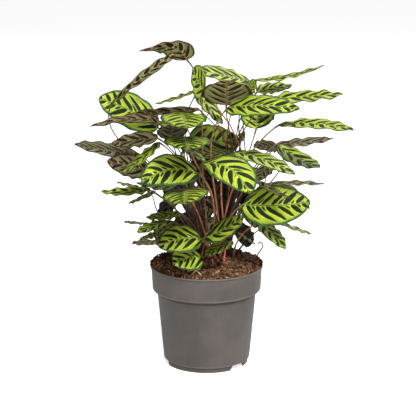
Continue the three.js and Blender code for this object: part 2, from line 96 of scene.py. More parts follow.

# painted highlights along the lip, the collar's lower edge and the body's foot, and painted shade
# in the corners under the bead, the collar and the body: the height of each line's middle, half
# its width, its colour and its strength
POT_PAINTED_LIGHT_LINES = [
    (POT_HEIGHT - 0.0008, 0.0012, POT_DUST_AND_HIGHLIGHT, 0.9),
    (POT_HEIGHT - BEAD - 0.0007, 0.001, POT_PAINTED_SHADE, 0.85),
    (BAND_FOOT + 0.0021, 0.0012, POT_DUST_AND_HIGHLIGHT, 0.8),
    (BAND_FOOT - 0.0034, 0.0032, POT_PAINTED_SHADE, 0.9),
    (FOOT_HEIGHT + 0.0012, 0.001, POT_DUST_AND_HIGHLIGHT, 0.8),
    (FOOT_HEIGHT - 0.0022, 0.0014, POT_PAINTED_SHADE, 0.6),
]


def colour(rgb):
    """A colour given as it looks on a screen, 0 to 255, as the linear one of a shader."""
    parts = [c / 255 for c in rgb]
    linear = [c / 12.92 if c <= 0.04045 else ((c + 0.055) / 1.055) ** 2.4 for c in parts]
    return (*linear, 1.0)


def join(tree, value, socket):
    """Links a node's output to the socket, or gives the socket a plain value."""
    if isinstance(value, bpy.types.NodeSocket):
        tree.links.new(value, socket)
    else:
        socket.default_value = value


def add_node(tree, kind, inputs, settings):
    node = tree.nodes.new(kind)
    for name, value in settings.items():
        setattr(node, name, value)
    for name, value in inputs.items():
        join(tree, value, node.inputs[name])
    return node


class Finish:
    """A material while it is wired: each call adds a node and gives back its output."""

    def __init__(self, name, **values):
        self.material = bpy.data.materials.new(name)
        self.material.use_nodes = True
        self.tree = self.material.node_tree
        self.set(**values)

    def set(self, **values):
        shader = self.tree.nodes["Principled BSDF"]
        for name, value in values.items():
            join(self.tree, value, shader.inputs[name.replace("_", " ")])

    def node(self, kind, inputs, **settings):
        return add_node(self.tree, "ShaderNode" + kind, inputs, settings)

    def math(self, operation, *values):
        return self.node("Math", dict(enumerate(values)), operation=operation).outputs[0]

    def times(self, first, second):
        return self.math("MULTIPLY", first, second)

    def line(self, value, slope, start):
        """The value times the slope, plus the start."""
        return self.math("MULTIPLY_ADD", value, slope, start)

    def step(self, value, low, high):
        """0 below low and 1 above high, smooth between them."""
        ends = {0: value, 1: low, 2: high}
        node = self.node("MapRange", ends, interpolation_type="SMOOTHSTEP")
        return node.outputs[0]

    def mix(self, share, first, second):
        inputs = {0: share, 6: first, 7: second}
        return self.node("Mix", inputs, data_type="RGBA").outputs[2]

    def place(self, stretch=(1, 1, 1)):
        """Where a point lies on the object, stretched along each way."""
        where = self.node("TexCoord", {}).outputs["Object"]
        return self.node("Mapping", {"Vector": where, "Scale": stretch}).outputs[0]

    def noise(self, place, scale, detail=3.0, roughness=0.55):
        inputs = {"Vector": place, "Scale": scale, "Detail": detail, "Roughness": roughness}
        return self.node("TexNoise", inputs).outputs["Fac"]

    def bump(self, height, distance, strength=1.0, **under):
        inputs = {"Height": height, "Distance": distance, "Strength": strength, **under}
        return self.node("Bump", inputs).outputs[0]


def mesh_object(name, points, faces, materials):
    """An object in the scene, shaded smooth."""
    mesh = bpy.data.meshes.new(name)
    mesh.from_pydata([tuple(p) for p in points], [], [tuple(f) for f in faces])
    for material in materials:
        mesh.materials.append(material)
    mesh.polygons.foreach_set("use_smooth", [True] * len(mesh.polygons))
    mesh.update()
    piece = bpy.data.objects.new(name, mesh)
    scene.collection.objects.link(piece)
    return piece


def face_outwards(piece):
    body = bmesh.new()
    body.from_mesh(piece.data)
    bmesh.ops.remove_doubles(body, verts=body.verts, dist=1e-6)
    bmesh.ops.recalc_face_normals(body, faces=body.faces)
    body.to_mesh(piece.data)
    body.free()


def rounded(corners, steps=5):
    """A closed outline round (radius, height, rounding) corners, each turned by a curve."""
    outline = []
    for i, (*corner, rounding) in enumerate(corners):
        here = np.array(corner)
        before = np.array(corners[i - 1][:2]) - here
        after = np.array(corners[(i + 1) % len(corners)][:2]) - here
        back = here + before / np.linalg.norm(before) * rounding
        ahead = here + after / np.linalg.norm(after) * rounding
        if rounding == 0:
            outline.append(here)
            continue
        for k in range(steps + 1):
            t = k / steps
            outline.append((1 - t) ** 2 * back + 2 * t * (1 - t) * here + t * t * ahead)
    return outline


def polar(radius, turn, height):
    return (radius * math.cos(turn), radius * math.sin(turn), height)


def band(a, b, count):
    """The faces between two closed rings of points, whose numbers start at a and b."""
    return [(a + k, b + k, b + (k + 1) % count, a + (k + 1) % count) for k in range(count)]


def spun(name, outline, sides, materials):
    """An outline of (radius, height) turned about the Z axis into a closed skin."""
    turns = [2 * math.pi * side / sides for side in range(sides)]
    points = [polar(radius, turn, height) for turn in turns for radius, height in outline]
    count = len(outline)
    faces = []
    for side in range(sides):
        faces += band(side * count, (side + 1) % sides * count, count)
    piece = mesh_object(name, points, faces, materials)
    face_outwards(piece)
    return piece


def cut_away(piece, cutters):
    """Cuts the solid cutters out of the piece for good."""
    for cutter in cutters:
        cut = piece.modifiers.new("cut", "BOOLEAN")
        cut.object = cutter
        cut.solver = "EXACT"
    made_plain(piece)
    for cutter in cutters:
        bpy.data.objects.remove(cutter)


def made_plain(piece):
    """Swaps the piece's mesh for its finished one and drops its modifiers."""
    ready = piece.evaluated_get(bpy.context.evaluated_depsgraph_get())
    mesh = bpy.data.meshes.new_from_object(ready)
    mesh.name = piece.name
    piece.modifiers.clear()
    piece.data = mesh


def pot_finish():
    finish = Finish("grey_pot_plastic", Specular_IOR_Level=0.45)
    place = finish.place()
    cloud = finish.noise(place, 14.0, 4.0)
    patches = finish.step(cloud, 0.35, 0.7)
    body = finish.mix(patches, colour(POT_DARK), colour(POT_GREY))
    streaks = finish.noise(finish.place((1, 1, 0.06)), 190.0, 2.0)
    body = finish.mix(finish.times(streaks, 0.16), body, colour(POT_DUST_AND_HIGHLIGHT))
    # scuffs run round and down the wall, and dust dries on it in faint specks
    scuffs = finish.noise(finish.place((1, 1, 6)), 60.0, 5.0, 0.7)
    scuffed = finish.mix(finish.step(scuffs, 0.6, 0.85), body, colour(POT_DUST_AND_HIGHLIGHT))
    specks = finish.noise(place, 900.0, 2.0, 0.6)
    dust_and_painted_light = finish.mix(finish.step(specks, 0.66, 0.8), scuffed, colour(POT_DUST_AND_HIGHLIGHT))
    # painted shade darkens the corners under the bead, the collar and the body, and painted
    # highlights lighten the lip and the edges above those corners
    height = finish.node("SeparateXYZ", {0: place}).outputs[2]
    for middle, reach, tint, most in POT_PAINTED_LIGHT_LINES:
        off = finish.math("ABSOLUTE", finish.math("SUBTRACT", height, middle))
        share = finish.times(finish.step(off, reach, 0.0), most)
        dust_and_painted_light = finish.mix(share, dust_and_painted_light, colour(tint))
    finish.set(Base_Color=dust_and_painted_light)
    finish.set(Roughness=finish.line(scuffs, 0.25, 0.34))
    grain = finish.bump(finish.noise(place, 1400.0, 2.0), 0.00006)
    finish.set(Normal=finish.bump(cloud, 0.0008, 0.5, Normal=grain))
    return finish.material


def prism(name, near, far):
    """A closed solid between two outlines with as many points, to cut with."""
    count = len(near)
    ends = [tuple(range(count)), tuple(range(2 * count - 1, count - 1, -1))]
    cutter = mesh_object(name, near + far, ends + band(0, count, count), [])
    face_outwards(cutter)
    return cutter


def drain_notch(turn):
    """A cutter that is wider at the floor than at its top, turned from the front."""
    bottom_half, top_half, top, below = 0.016, 0.0105, FOOT_HEIGHT - 0.0008, -0.002
    inside, outside = 0.03, 0.1
    corners = [(-bottom_half, below), (bottom_half, below), (top_half, top), (-top_half, top)]
    near, far = ([(x, -depth, z) for x, z in corners] for depth in (inside, outside))
    cutter = prism("drain_notch", near, far)
    cutter.rotation_euler.z = math.radians(turn)
    return cutter


def drain_hole(turn):
    """A round cutter through the floor, turned from the right."""
    radius, ring_radius, sides, below, above = 0.005, 0.04, 24, -0.01, 0.02
    x, y, _ = polar(ring_radius, turn, 0)
    spokes = [polar(radius, 2 * math.pi * k / sides, 0) for k in range(sides)]
    near, far = ([(x + dx, y + dy, z) for dx, dy, _ in spokes] for z in (below, above))
    return prism("drain_hole", near, far)


RING_WIDTH = 0.0022
# radius, height and rounding, down the outside from the lip and up the inside again
pot_outline = rounded([
    (RIM_RADIUS - 0.0001, POT_HEIGHT, 0.0006),
    (RIM_RADIUS, POT_HEIGHT - BEAD, 0.0005),
    (RIM_RADIUS - 0.0013, POT_HEIGHT - BEAD - 0.0005, 0.0003),
    (BAND_FOOT_RADIUS, BAND_FOOT, 0.0024),
    (BODY_TOP_RADIUS, BAND_FOOT - 0.0003, 0.0012),
    (BODY_FOOT_RADIUS, FOOT_HEIGHT, 0.0007),
    (FOOT_RADIUS, FOOT_HEIGHT - 0.0006, 0.0005),
    (FOOT_RADIUS - 0.0004, 0, 0.0004),
    (FOOT_RADIUS - RING_WIDTH, 0, 0.0004),
    (FOOT_RADIUS - RING_WIDTH, FOOT_HEIGHT, 0),
    (0.0001, FOOT_HEIGHT, 0),
    (0.0001, FOOT_HEIGHT + POT_WALL, 0),
    (BODY_FOOT_RADIUS - POT_WALL, FOOT_HEIGHT + POT_WALL, 0.001),
    (BODY_TOP_RADIUS - POT_WALL, BAND_FOOT, 0.001),
    (BAND_FOOT_RADIUS - POT_WALL, BAND_FOOT + POT_WALL, 0.002),
    (RIM_RADIUS - POT_WALL - 0.0006, POT_HEIGHT, 0.0006),
])
pot = spun("grower_pot", pot_outline, POT_SIDES, [pot_finish()])
cut_away(pot, [drain_notch(turn) for turn in NOTCH_TURNS]
         + [drain_hole((k + 0.5) / HOLES * 2 * math.pi) for k in range(HOLES)])
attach(pot, "root")
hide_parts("pot")


# ---- The soil ----
# Dark peat and coir that fills the pot to just under its lip and is heaped round the
# stalks. Its surface is crumbly, and chips of bark, crumbs and fibres lie loose on it.

SOIL_TOP = 0.152
SOIL_RADIUS = 0.0826
SOIL_HEAP = 0.007
SOIL_EDGE = 0.004  # the surface is less rough this near to its edge

PEAT_DARK = (34, 22, 14)
PEAT_BROWN = (112, 80, 54)
PEAT_TAN = (180, 138, 94)
FIBRE_TAN = (204, 166, 120)
BARK_CHIP = (174, 128, 88)


def soil_height(x, y):
    """The smooth heap, as the solid has it."""
    nearness = 1 - ((x * x + y * y) / SOIL_RADIUS**2) ** 2
    lumps = np.sin(x * 210 + 1) * np.cos(y * 190) + 0.6 * np.sin(x * 90 - y * 130)
    return SOIL_TOP + SOIL_HEAP * nearness + 0.0011 * lumps * np.minimum(1, nearness * 3)


def crumbled(x, y):
    """The heap with its lumps, grains and hollows, which are less at the pot's wall."""
    coarse = noise.fractal((x * 95, y * 95, 3.1), 0.9, 2.1, 3)
    fine = noise.fractal((x * 420, y * 420, 7.7), 0.8, 2.2, 3)
    hollow = abs(noise.noise((x * 160, y * 160, 1.3)))
    fade = min(1.0, (SOIL_RADIUS - math.hypot(x, y)) / SOIL_EDGE)
    rough = 0.0016 + 0.003 * coarse + 0.0022 * fine - 0.004 * hollow
    return float(soil_height(x, y)) + rough * (0.35 + 0.65 * fade)


def soil_finish():
    finish = Finish("peat_and_coir", Specular_IOR_Level=0.25)
    place = finish.place()
    crumbs = finish.node("TexVoronoi", {"Vector": place, "Scale": 420.0, "Randomness": 1.0})
    tone = finish.noise(place, 130.0, 5.0, 0.7)
    base = finish.mix(finish.step(tone, 0.35, 0.72), colour(PEAT_DARK), colour(PEAT_BROWN))
    grain = finish.noise(place, 700.0, 4.0, 0.7)
    fleck = finish.times(finish.step(grain, 0.58, 0.72), 0.7)
    finish.set(Base_Color=finish.mix(fleck, base, colour(PEAT_TAN)))
    finish.set(Roughness=finish.line(tone, 0.2, 0.75))
    small = finish.bump(grain, 0.0009, 0.8)
    finish.set(Normal=finish.bump(crumbs.outputs["Distance"], 0.0012, 0.7, Normal=small))
    return finish.material


def crumbled_disc(reach, rings, sides):
    """The points of the soil's surface out to a radius, in rings about its middle."""
    points = [(0, 0, crumbled(0, 0))]
    for ring in range(1, rings + 1):
        for k in range(sides):
            x, y, _ = polar(reach * ring / rings, 2 * math.pi * k / sides, 0)
            points.append((x, y, crumbled(x, y)))
    return points


def disc_faces(rings, sides):
    """The faces of a middle point and the rings of points about it."""
    faces = [(0, 1 + k, 1 + (k + 1) % sides) for k in range(sides)]
    for ring in range(rings - 1):
        faces += band(1 + ring * sides, 1 + (ring + 1) * sides, sides)
    return faces


def soil_bed():
    """A crumbled round on top, closed below by a plain plug that fits the pot."""
    rings, sides = 64, 200
    aside, above = 0.0006, 0.0003  # how far the plug keeps off the pot
    inset = POT_WALL + aside
    steps = [
        (BAND_FOOT_RADIUS - inset, BAND_FOOT + inset),
        (BODY_TOP_RADIUS - inset, BAND_FOOT + above),
        (BODY_FOOT_RADIUS - inset, FOOT_HEIGHT + POT_WALL + above),
    ]
    points = crumbled_disc(SOIL_RADIUS, rings, sides)
    for radius, height in steps:
        points += [polar(radius, 2 * math.pi * k / sides, height) for k in range(sides)]
    points.append((0, 0, steps[-1][1]))
    last = len(points) - 1
    foot = last - sides
    faces = disc_faces(rings + len(steps), sides)
    faces += [(foot + (k + 1) % sides, foot + k, last) for k in range(sides)]
    return mesh_object("soil_bed", points, faces, [soil_finish()])


bed = soil_bed()
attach(bed, "root")
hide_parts("soil")


# ---- Chips, crumbs and fibres on the soil ----
# Loose litter that was mixed into the peat: flat chips of bark, rounder crumbs and
# curly coir fibres. They lie on the surface, and a few lean on the pot's lip.


class Nodes:
    """A Geometry Nodes tree while it is built, with named inputs for its sizes."""

    def __init__(self, name, inputs):
        self.tree = bpy.data.node_groups.new(name, "GeometryNodeTree")
        self.ids = {}
        for label, kind in {"Geometry": "Geometry", **inputs}.items():
            made = self.tree.interface.new_socket(
                label, in_out="INPUT", socket_type="NodeSocket" + kind)
            self.ids[label] = made.identifier
        self.tree.interface.new_socket(
            "Geometry", in_out="OUTPUT", socket_type="NodeSocketGeometry")
        self.given = self.tree.nodes.new("NodeGroupInput").outputs
        self.result = self.tree.nodes.new("NodeGroupOutput").inputs[0]

    def node(self, kind, inputs, **settings):
        return add_node(self.tree, kind, inputs, settings).outputs

    def put_on(self, piece, values):
        """Runs the tree on the piece and keeps only the plain mesh that it makes."""
        modifier = piece.modifiers.new("made", "NODES")
        modifier.node_group = self.tree
        for label, value in values.items():
            modifier[self.ids[label]] = value
        made_plain(piece)


def scatter_tree():
    """Grains strewn over a ground, each turned and sized at random from one seed."""
    nodes = Nodes("strewn_grains", {
        "Grain": "Object", "Count": "Float", "Smallest": "Float", "Largest": "Float",
        "Tilt": "Float", "Seed": "Int", "Finish": "Material",
    })
    given = nodes.given
    spots = nodes.node("GeometryNodeDistributePointsOnFaces", {
        "Mesh": given["Geometry"], "Density": given["Count"], "Seed": given["Seed"]})
    grain = nodes.node("GeometryNodeObjectInfo", {"Object": given["Grain"]})
    tilt, full_turn = given["Tilt"], 6.2832
    back = nodes.node("ShaderNodeMath", {0: tilt, 1: -1.0}, operation="MULTIPLY")[0]
    low = nodes.node("ShaderNodeCombineXYZ", {"X": back, "Y": back, "Z": 0.0})[0]
    high = nodes.node("ShaderNodeCombineXYZ", {"X": tilt, "Y": tilt, "Z": full_turn})[0]
    turn = nodes.node("FunctionNodeRandomValue", {0: low, 1: high, "Seed": given["Seed"]},
                      data_type="FLOAT_VECTOR")[0]
    size = nodes.node("FunctionNodeRandomValue", {
        2: given["Smallest"], 3: given["Largest"], "Seed": given["Seed"]},
        data_type="FLOAT")[1]
    laid = nodes.node("GeometryNodeInstanceOnPoints", {
        "Points": spots["Points"], "Instance": grain["Geometry"],
        "Rotation": turn, "Scale": size})
    real = nodes.node("GeometryNodeRealizeInstances", {"Geometry": laid[0]})
    done = nodes.node("GeometryNodeSetMaterial",
                      {"Geometry": real[0], "Material": given["Finish"]})
    nodes.tree.links.new(done[0], nodes.result)
    return nodes


def rough_grain(name, stretch, depth, scale, shift=0):
    """A ball of twenty faces, stretched along each way and roughened by noise."""
    body = bmesh.new()
    bmesh.ops.create_icosphere(body, subdivisions=1, radius=1.0)
    for vertex in body.verts:
        rough = 1 + depth * noise.noise(vertex.co * scale + Vector((shift, 0, 0)))
        vertex.co = Vector([way * size for way, size in zip(vertex.co, stretch)]) * rough
    mesh = bpy.data.meshes.new(name)
    body.to_mesh(mesh)
    body.free()
    return bpy.data.objects.new(name, mesh)


def chip_grain():
    """One flat splinter of bark."""
    return rough_grain("chip_grain", (1.5, 0.8, 0.35), 0.45, 1.7)


def crumb_grain():
    return rough_grain("crumb_grain", (1, 1, 1), 0.7, 2.3, 5)


def tube(path, radii, sides):
    """A round tube along a path, closed at both ends: its points and its faces."""
    path = [Vector(p) for p in path]
    count = len(path)
    across = None
    points = []
    for i, middle in enumerate(path):
        along = (path[min(i + 1, count - 1)] - path[max(i - 1, 0)]).normalized()
        if across is None:
            across = along.orthogonal().normalized()
        across = (across - along * across.dot(along)).normalized()
        other = along.cross(across)
        for k in range(sides):
            turn = 2 * math.pi * k / sides
            spoke = across * math.cos(turn) + other * math.sin(turn)
            points.append(middle + float(radii[i]) * spoke)
    faces = [tuple(range(sides - 1, -1, -1)), tuple(range((count - 1) * sides, count * sides))]
    for i in range(count - 1):
        a, b = i * sides, (i + 1) * sides
        faces += [(a + k, a + (k + 1) % sides, b + (k + 1) % sides, b + k) for k in range(sides)]
    return points, faces


def fibre_grain():
    """One curly coir fibre, unit long."""
    steps, radius, sides = 9, 0.016, 4
    path = [(t - 0.5, 0.16 * math.sin(5 * t), 0.12 * math.sin(math.pi * t))
            for t in np.linspace(0, 1, steps)]
    points, faces = tube(path, [radius] * steps, sides)
    mesh = bpy.data.meshes.new("fibre_grain")
    mesh.from_pydata([tuple(p) for p in points], [], faces)
    return bpy.data.objects.new("fibre_grain", mesh)


def litter_finish(name, dark, light):
    finish = Finish(name, Specular_IOR_Level=0.25)
    place = finish.place()
    tone = finish.noise(place, 160.0, 2.0)
    finish.set(Base_Color=finish.mix(finish.step(tone, 0.35, 0.65), colour(dark), colour(light)))
    finish.set(Roughness=finish.line(tone, 0.2, 0.7))
    grain = finish.noise(finish.place((1, 1, 4)), 1500.0, 3.0)
    finish.set(Normal=finish.bump(grain, 0.0004, 0.7))
    return finish.material


def lip_ground(start, end, rise):
    """The pot's lip from one turn to another, for the crumbs that lie on it."""
    count, inner, outer = 60, RIM_RADIUS - 0.0035, RIM_RADIUS + 0.0002
    turns = np.radians(np.linspace(start, end, count))
    points = [polar(radius, turn, POT_HEIGHT + rise)
              for radius in (inner, outer) for turn in turns]
    return points, [(k, k + count, k + 1 + count, k + 1) for k in range(count - 1)]


def soil_ground(inset):
    """The soil's surface up to an inset from its edge, for things strewn over it."""
    rings, sides = 22, 60
    return crumbled_disc(SOIL_RADIUS - inset, rings, sides), disc_faces(rings, sides)


# name, ground, one grain, grains to a square metre, smallest and largest size, tilt,
# seed, and the finish with its two colours
LITTER = [
    ("coarse_crumbs", soil_ground(0.003), crumb_grain, 26000, 0.0014, 0.0036, 3.0, 2,
     ("coarse_crumb", (50, 33, 22), (142, 104, 70))),
    ("bark_chips", soil_ground(0.001), chip_grain, 22000, 0.0013, 0.0038, 0.7, 3,
     ("bark", (84, 57, 38), BARK_CHIP)),
    ("pale_chips", soil_ground(0.001), chip_grain, 20000, 0.0009, 0.0027, 0.8, 8,
     ("pale_bark", BARK_CHIP, (226, 190, 148))),
    ("peat_crumbs", soil_ground(-0.0006), crumb_grain, 60000, 0.0007, 0.002, 3.0, 5,
     ("crumb", PEAT_DARK, (130, 92, 62))),
    ("lip_crumbs", lip_ground(0, 360, 0.0002), crumb_grain, 30000, 0.0005, 0.0015, 3.0, 9,
     ("lip_crumb", PEAT_DARK, (120, 84, 56))),
    ("heaped_crumbs", lip_ground(-25, 200, 0.0012), crumb_grain, 110000, 0.0011, 0.0027, 3.0, 21,
     ("heaped_crumb", (44, 29, 19), (134, 96, 62))),
    ("coir_fibres", soil_ground(0.002), fibre_grain, 9000, 0.005, 0.015, 0.35, 11,
     ("coir", (134, 98, 66), FIBRE_TAN)),
]
strewn = scatter_tree()
for name, ground, make_grain, count, smallest, largest, tilt, seed, look in LITTER:
    litter = mesh_object(name, *ground, [])
    grain = make_grain()
    scene.collection.objects.link(grain)
    strewn.put_on(litter, {
        "Grain": grain, "Count": float(count), "Smallest": smallest, "Largest": largest,
        "Tilt": tilt, "Seed": seed, "Finish": litter_finish(*look)})
    bpy.data.objects.remove(grain)
    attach(litter, "root")


# ---- Dry roots and sheath stubs ----
# A few single bits stand out of the soil: a curly dry root at the right-hand edge, a
# forked pale one in front, and the red stubs of two old sheaths beside the stalks.

ROOT_PALE = (224, 192, 150)
ROOT_DRY = (70, 50, 36)
STUB_RED = (226, 92, 78)
STUB_ROSE = (244, 150, 130)


def along(controls, count):
    """A smooth way through the points given, by Catmull and Rom's rule."""
    ends = [2 * np.array(controls[0]) - controls[1], *map(np.array, controls),
            2 * np.array(controls[-1]) - controls[-2]]
    path = []
    for k in range(count):
        at = k / (count - 1) * (len(controls) - 1)
        i = min(int(at), len(controls) - 2)
        t = at - i
        a, b, c, d = ends[i:i + 4]
        path.append(0.5 * (2 * b + (c - a) * t + (2 * a - 5 * b + 4 * c - d) * t * t
                           + (3 * b - a - 3 * c + d) * t**3))
    return path


def shifted(faces, start):
    """The faces for points whose numbers begin at start."""
    return [tuple(corner + start for corner in face) for face in faces]


def bit(name, strands, finish):
    """One piece of round strands, each through its points with a radius at each end."""
    steps, sides = 20, 7
    points, faces = [], []
    for controls, thick, thin in strands:
        own, own_faces = tube(along(controls, steps), np.linspace(thick, thin, steps), sides)
        faces += shifted(own_faces, len(points))
        points += own
    piece = mesh_object(name, points, faces, [finish])
    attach(piece, "root")
    return piece


curly_root = bit("curly_root", [
    ([(0.077, 0.028, 0.151), (0.078, 0.03, 0.159), (0.083, 0.031, 0.166),
      (0.086, 0.032, 0.173), (0.081, 0.033, 0.178), (0.079, 0.033, 0.174)], 0.0012, 0.0009),
], litter_finish("dry_root", ROOT_DRY, (120, 92, 66)))
forked_root = bit("forked_root", [
    ([(-0.022, -0.074, 0.157), (-0.016, -0.071, 0.1635), (-0.01, -0.067, 0.164)], 0.0011, 0.0008),
    ([(-0.016, -0.071, 0.1635), (-0.012, -0.074, 0.1615), (-0.008, -0.077, 0.157)], 0.001, 0.0007),
], litter_finish("pale_root", (190, 154, 112), ROOT_PALE))
stubs = bit("sheath_stubs", [
    ([(0.025, -0.02, 0.154), (0.026, -0.02, 0.168), (0.028, -0.021, 0.181)], 0.0024, 0.0009),
    ([(0.01, -0.034, 0.152), (0.0095, -0.035, 0.162), (0.008, -0.036, 0.172)], 0.0017, 0.0006),
], litter_finish("sheath_stub", STUB_RED, STUB_ROSE))


# ---- The leaf blades ----
# Thin waved blades, folded up a little at the midrib and curled down at the margins, each
# hung at its joint with a stalk. The upper face is yellow-green with dark lenses along its
# side veins and a green margin, and the lower one has the same in maroon on grey-green.

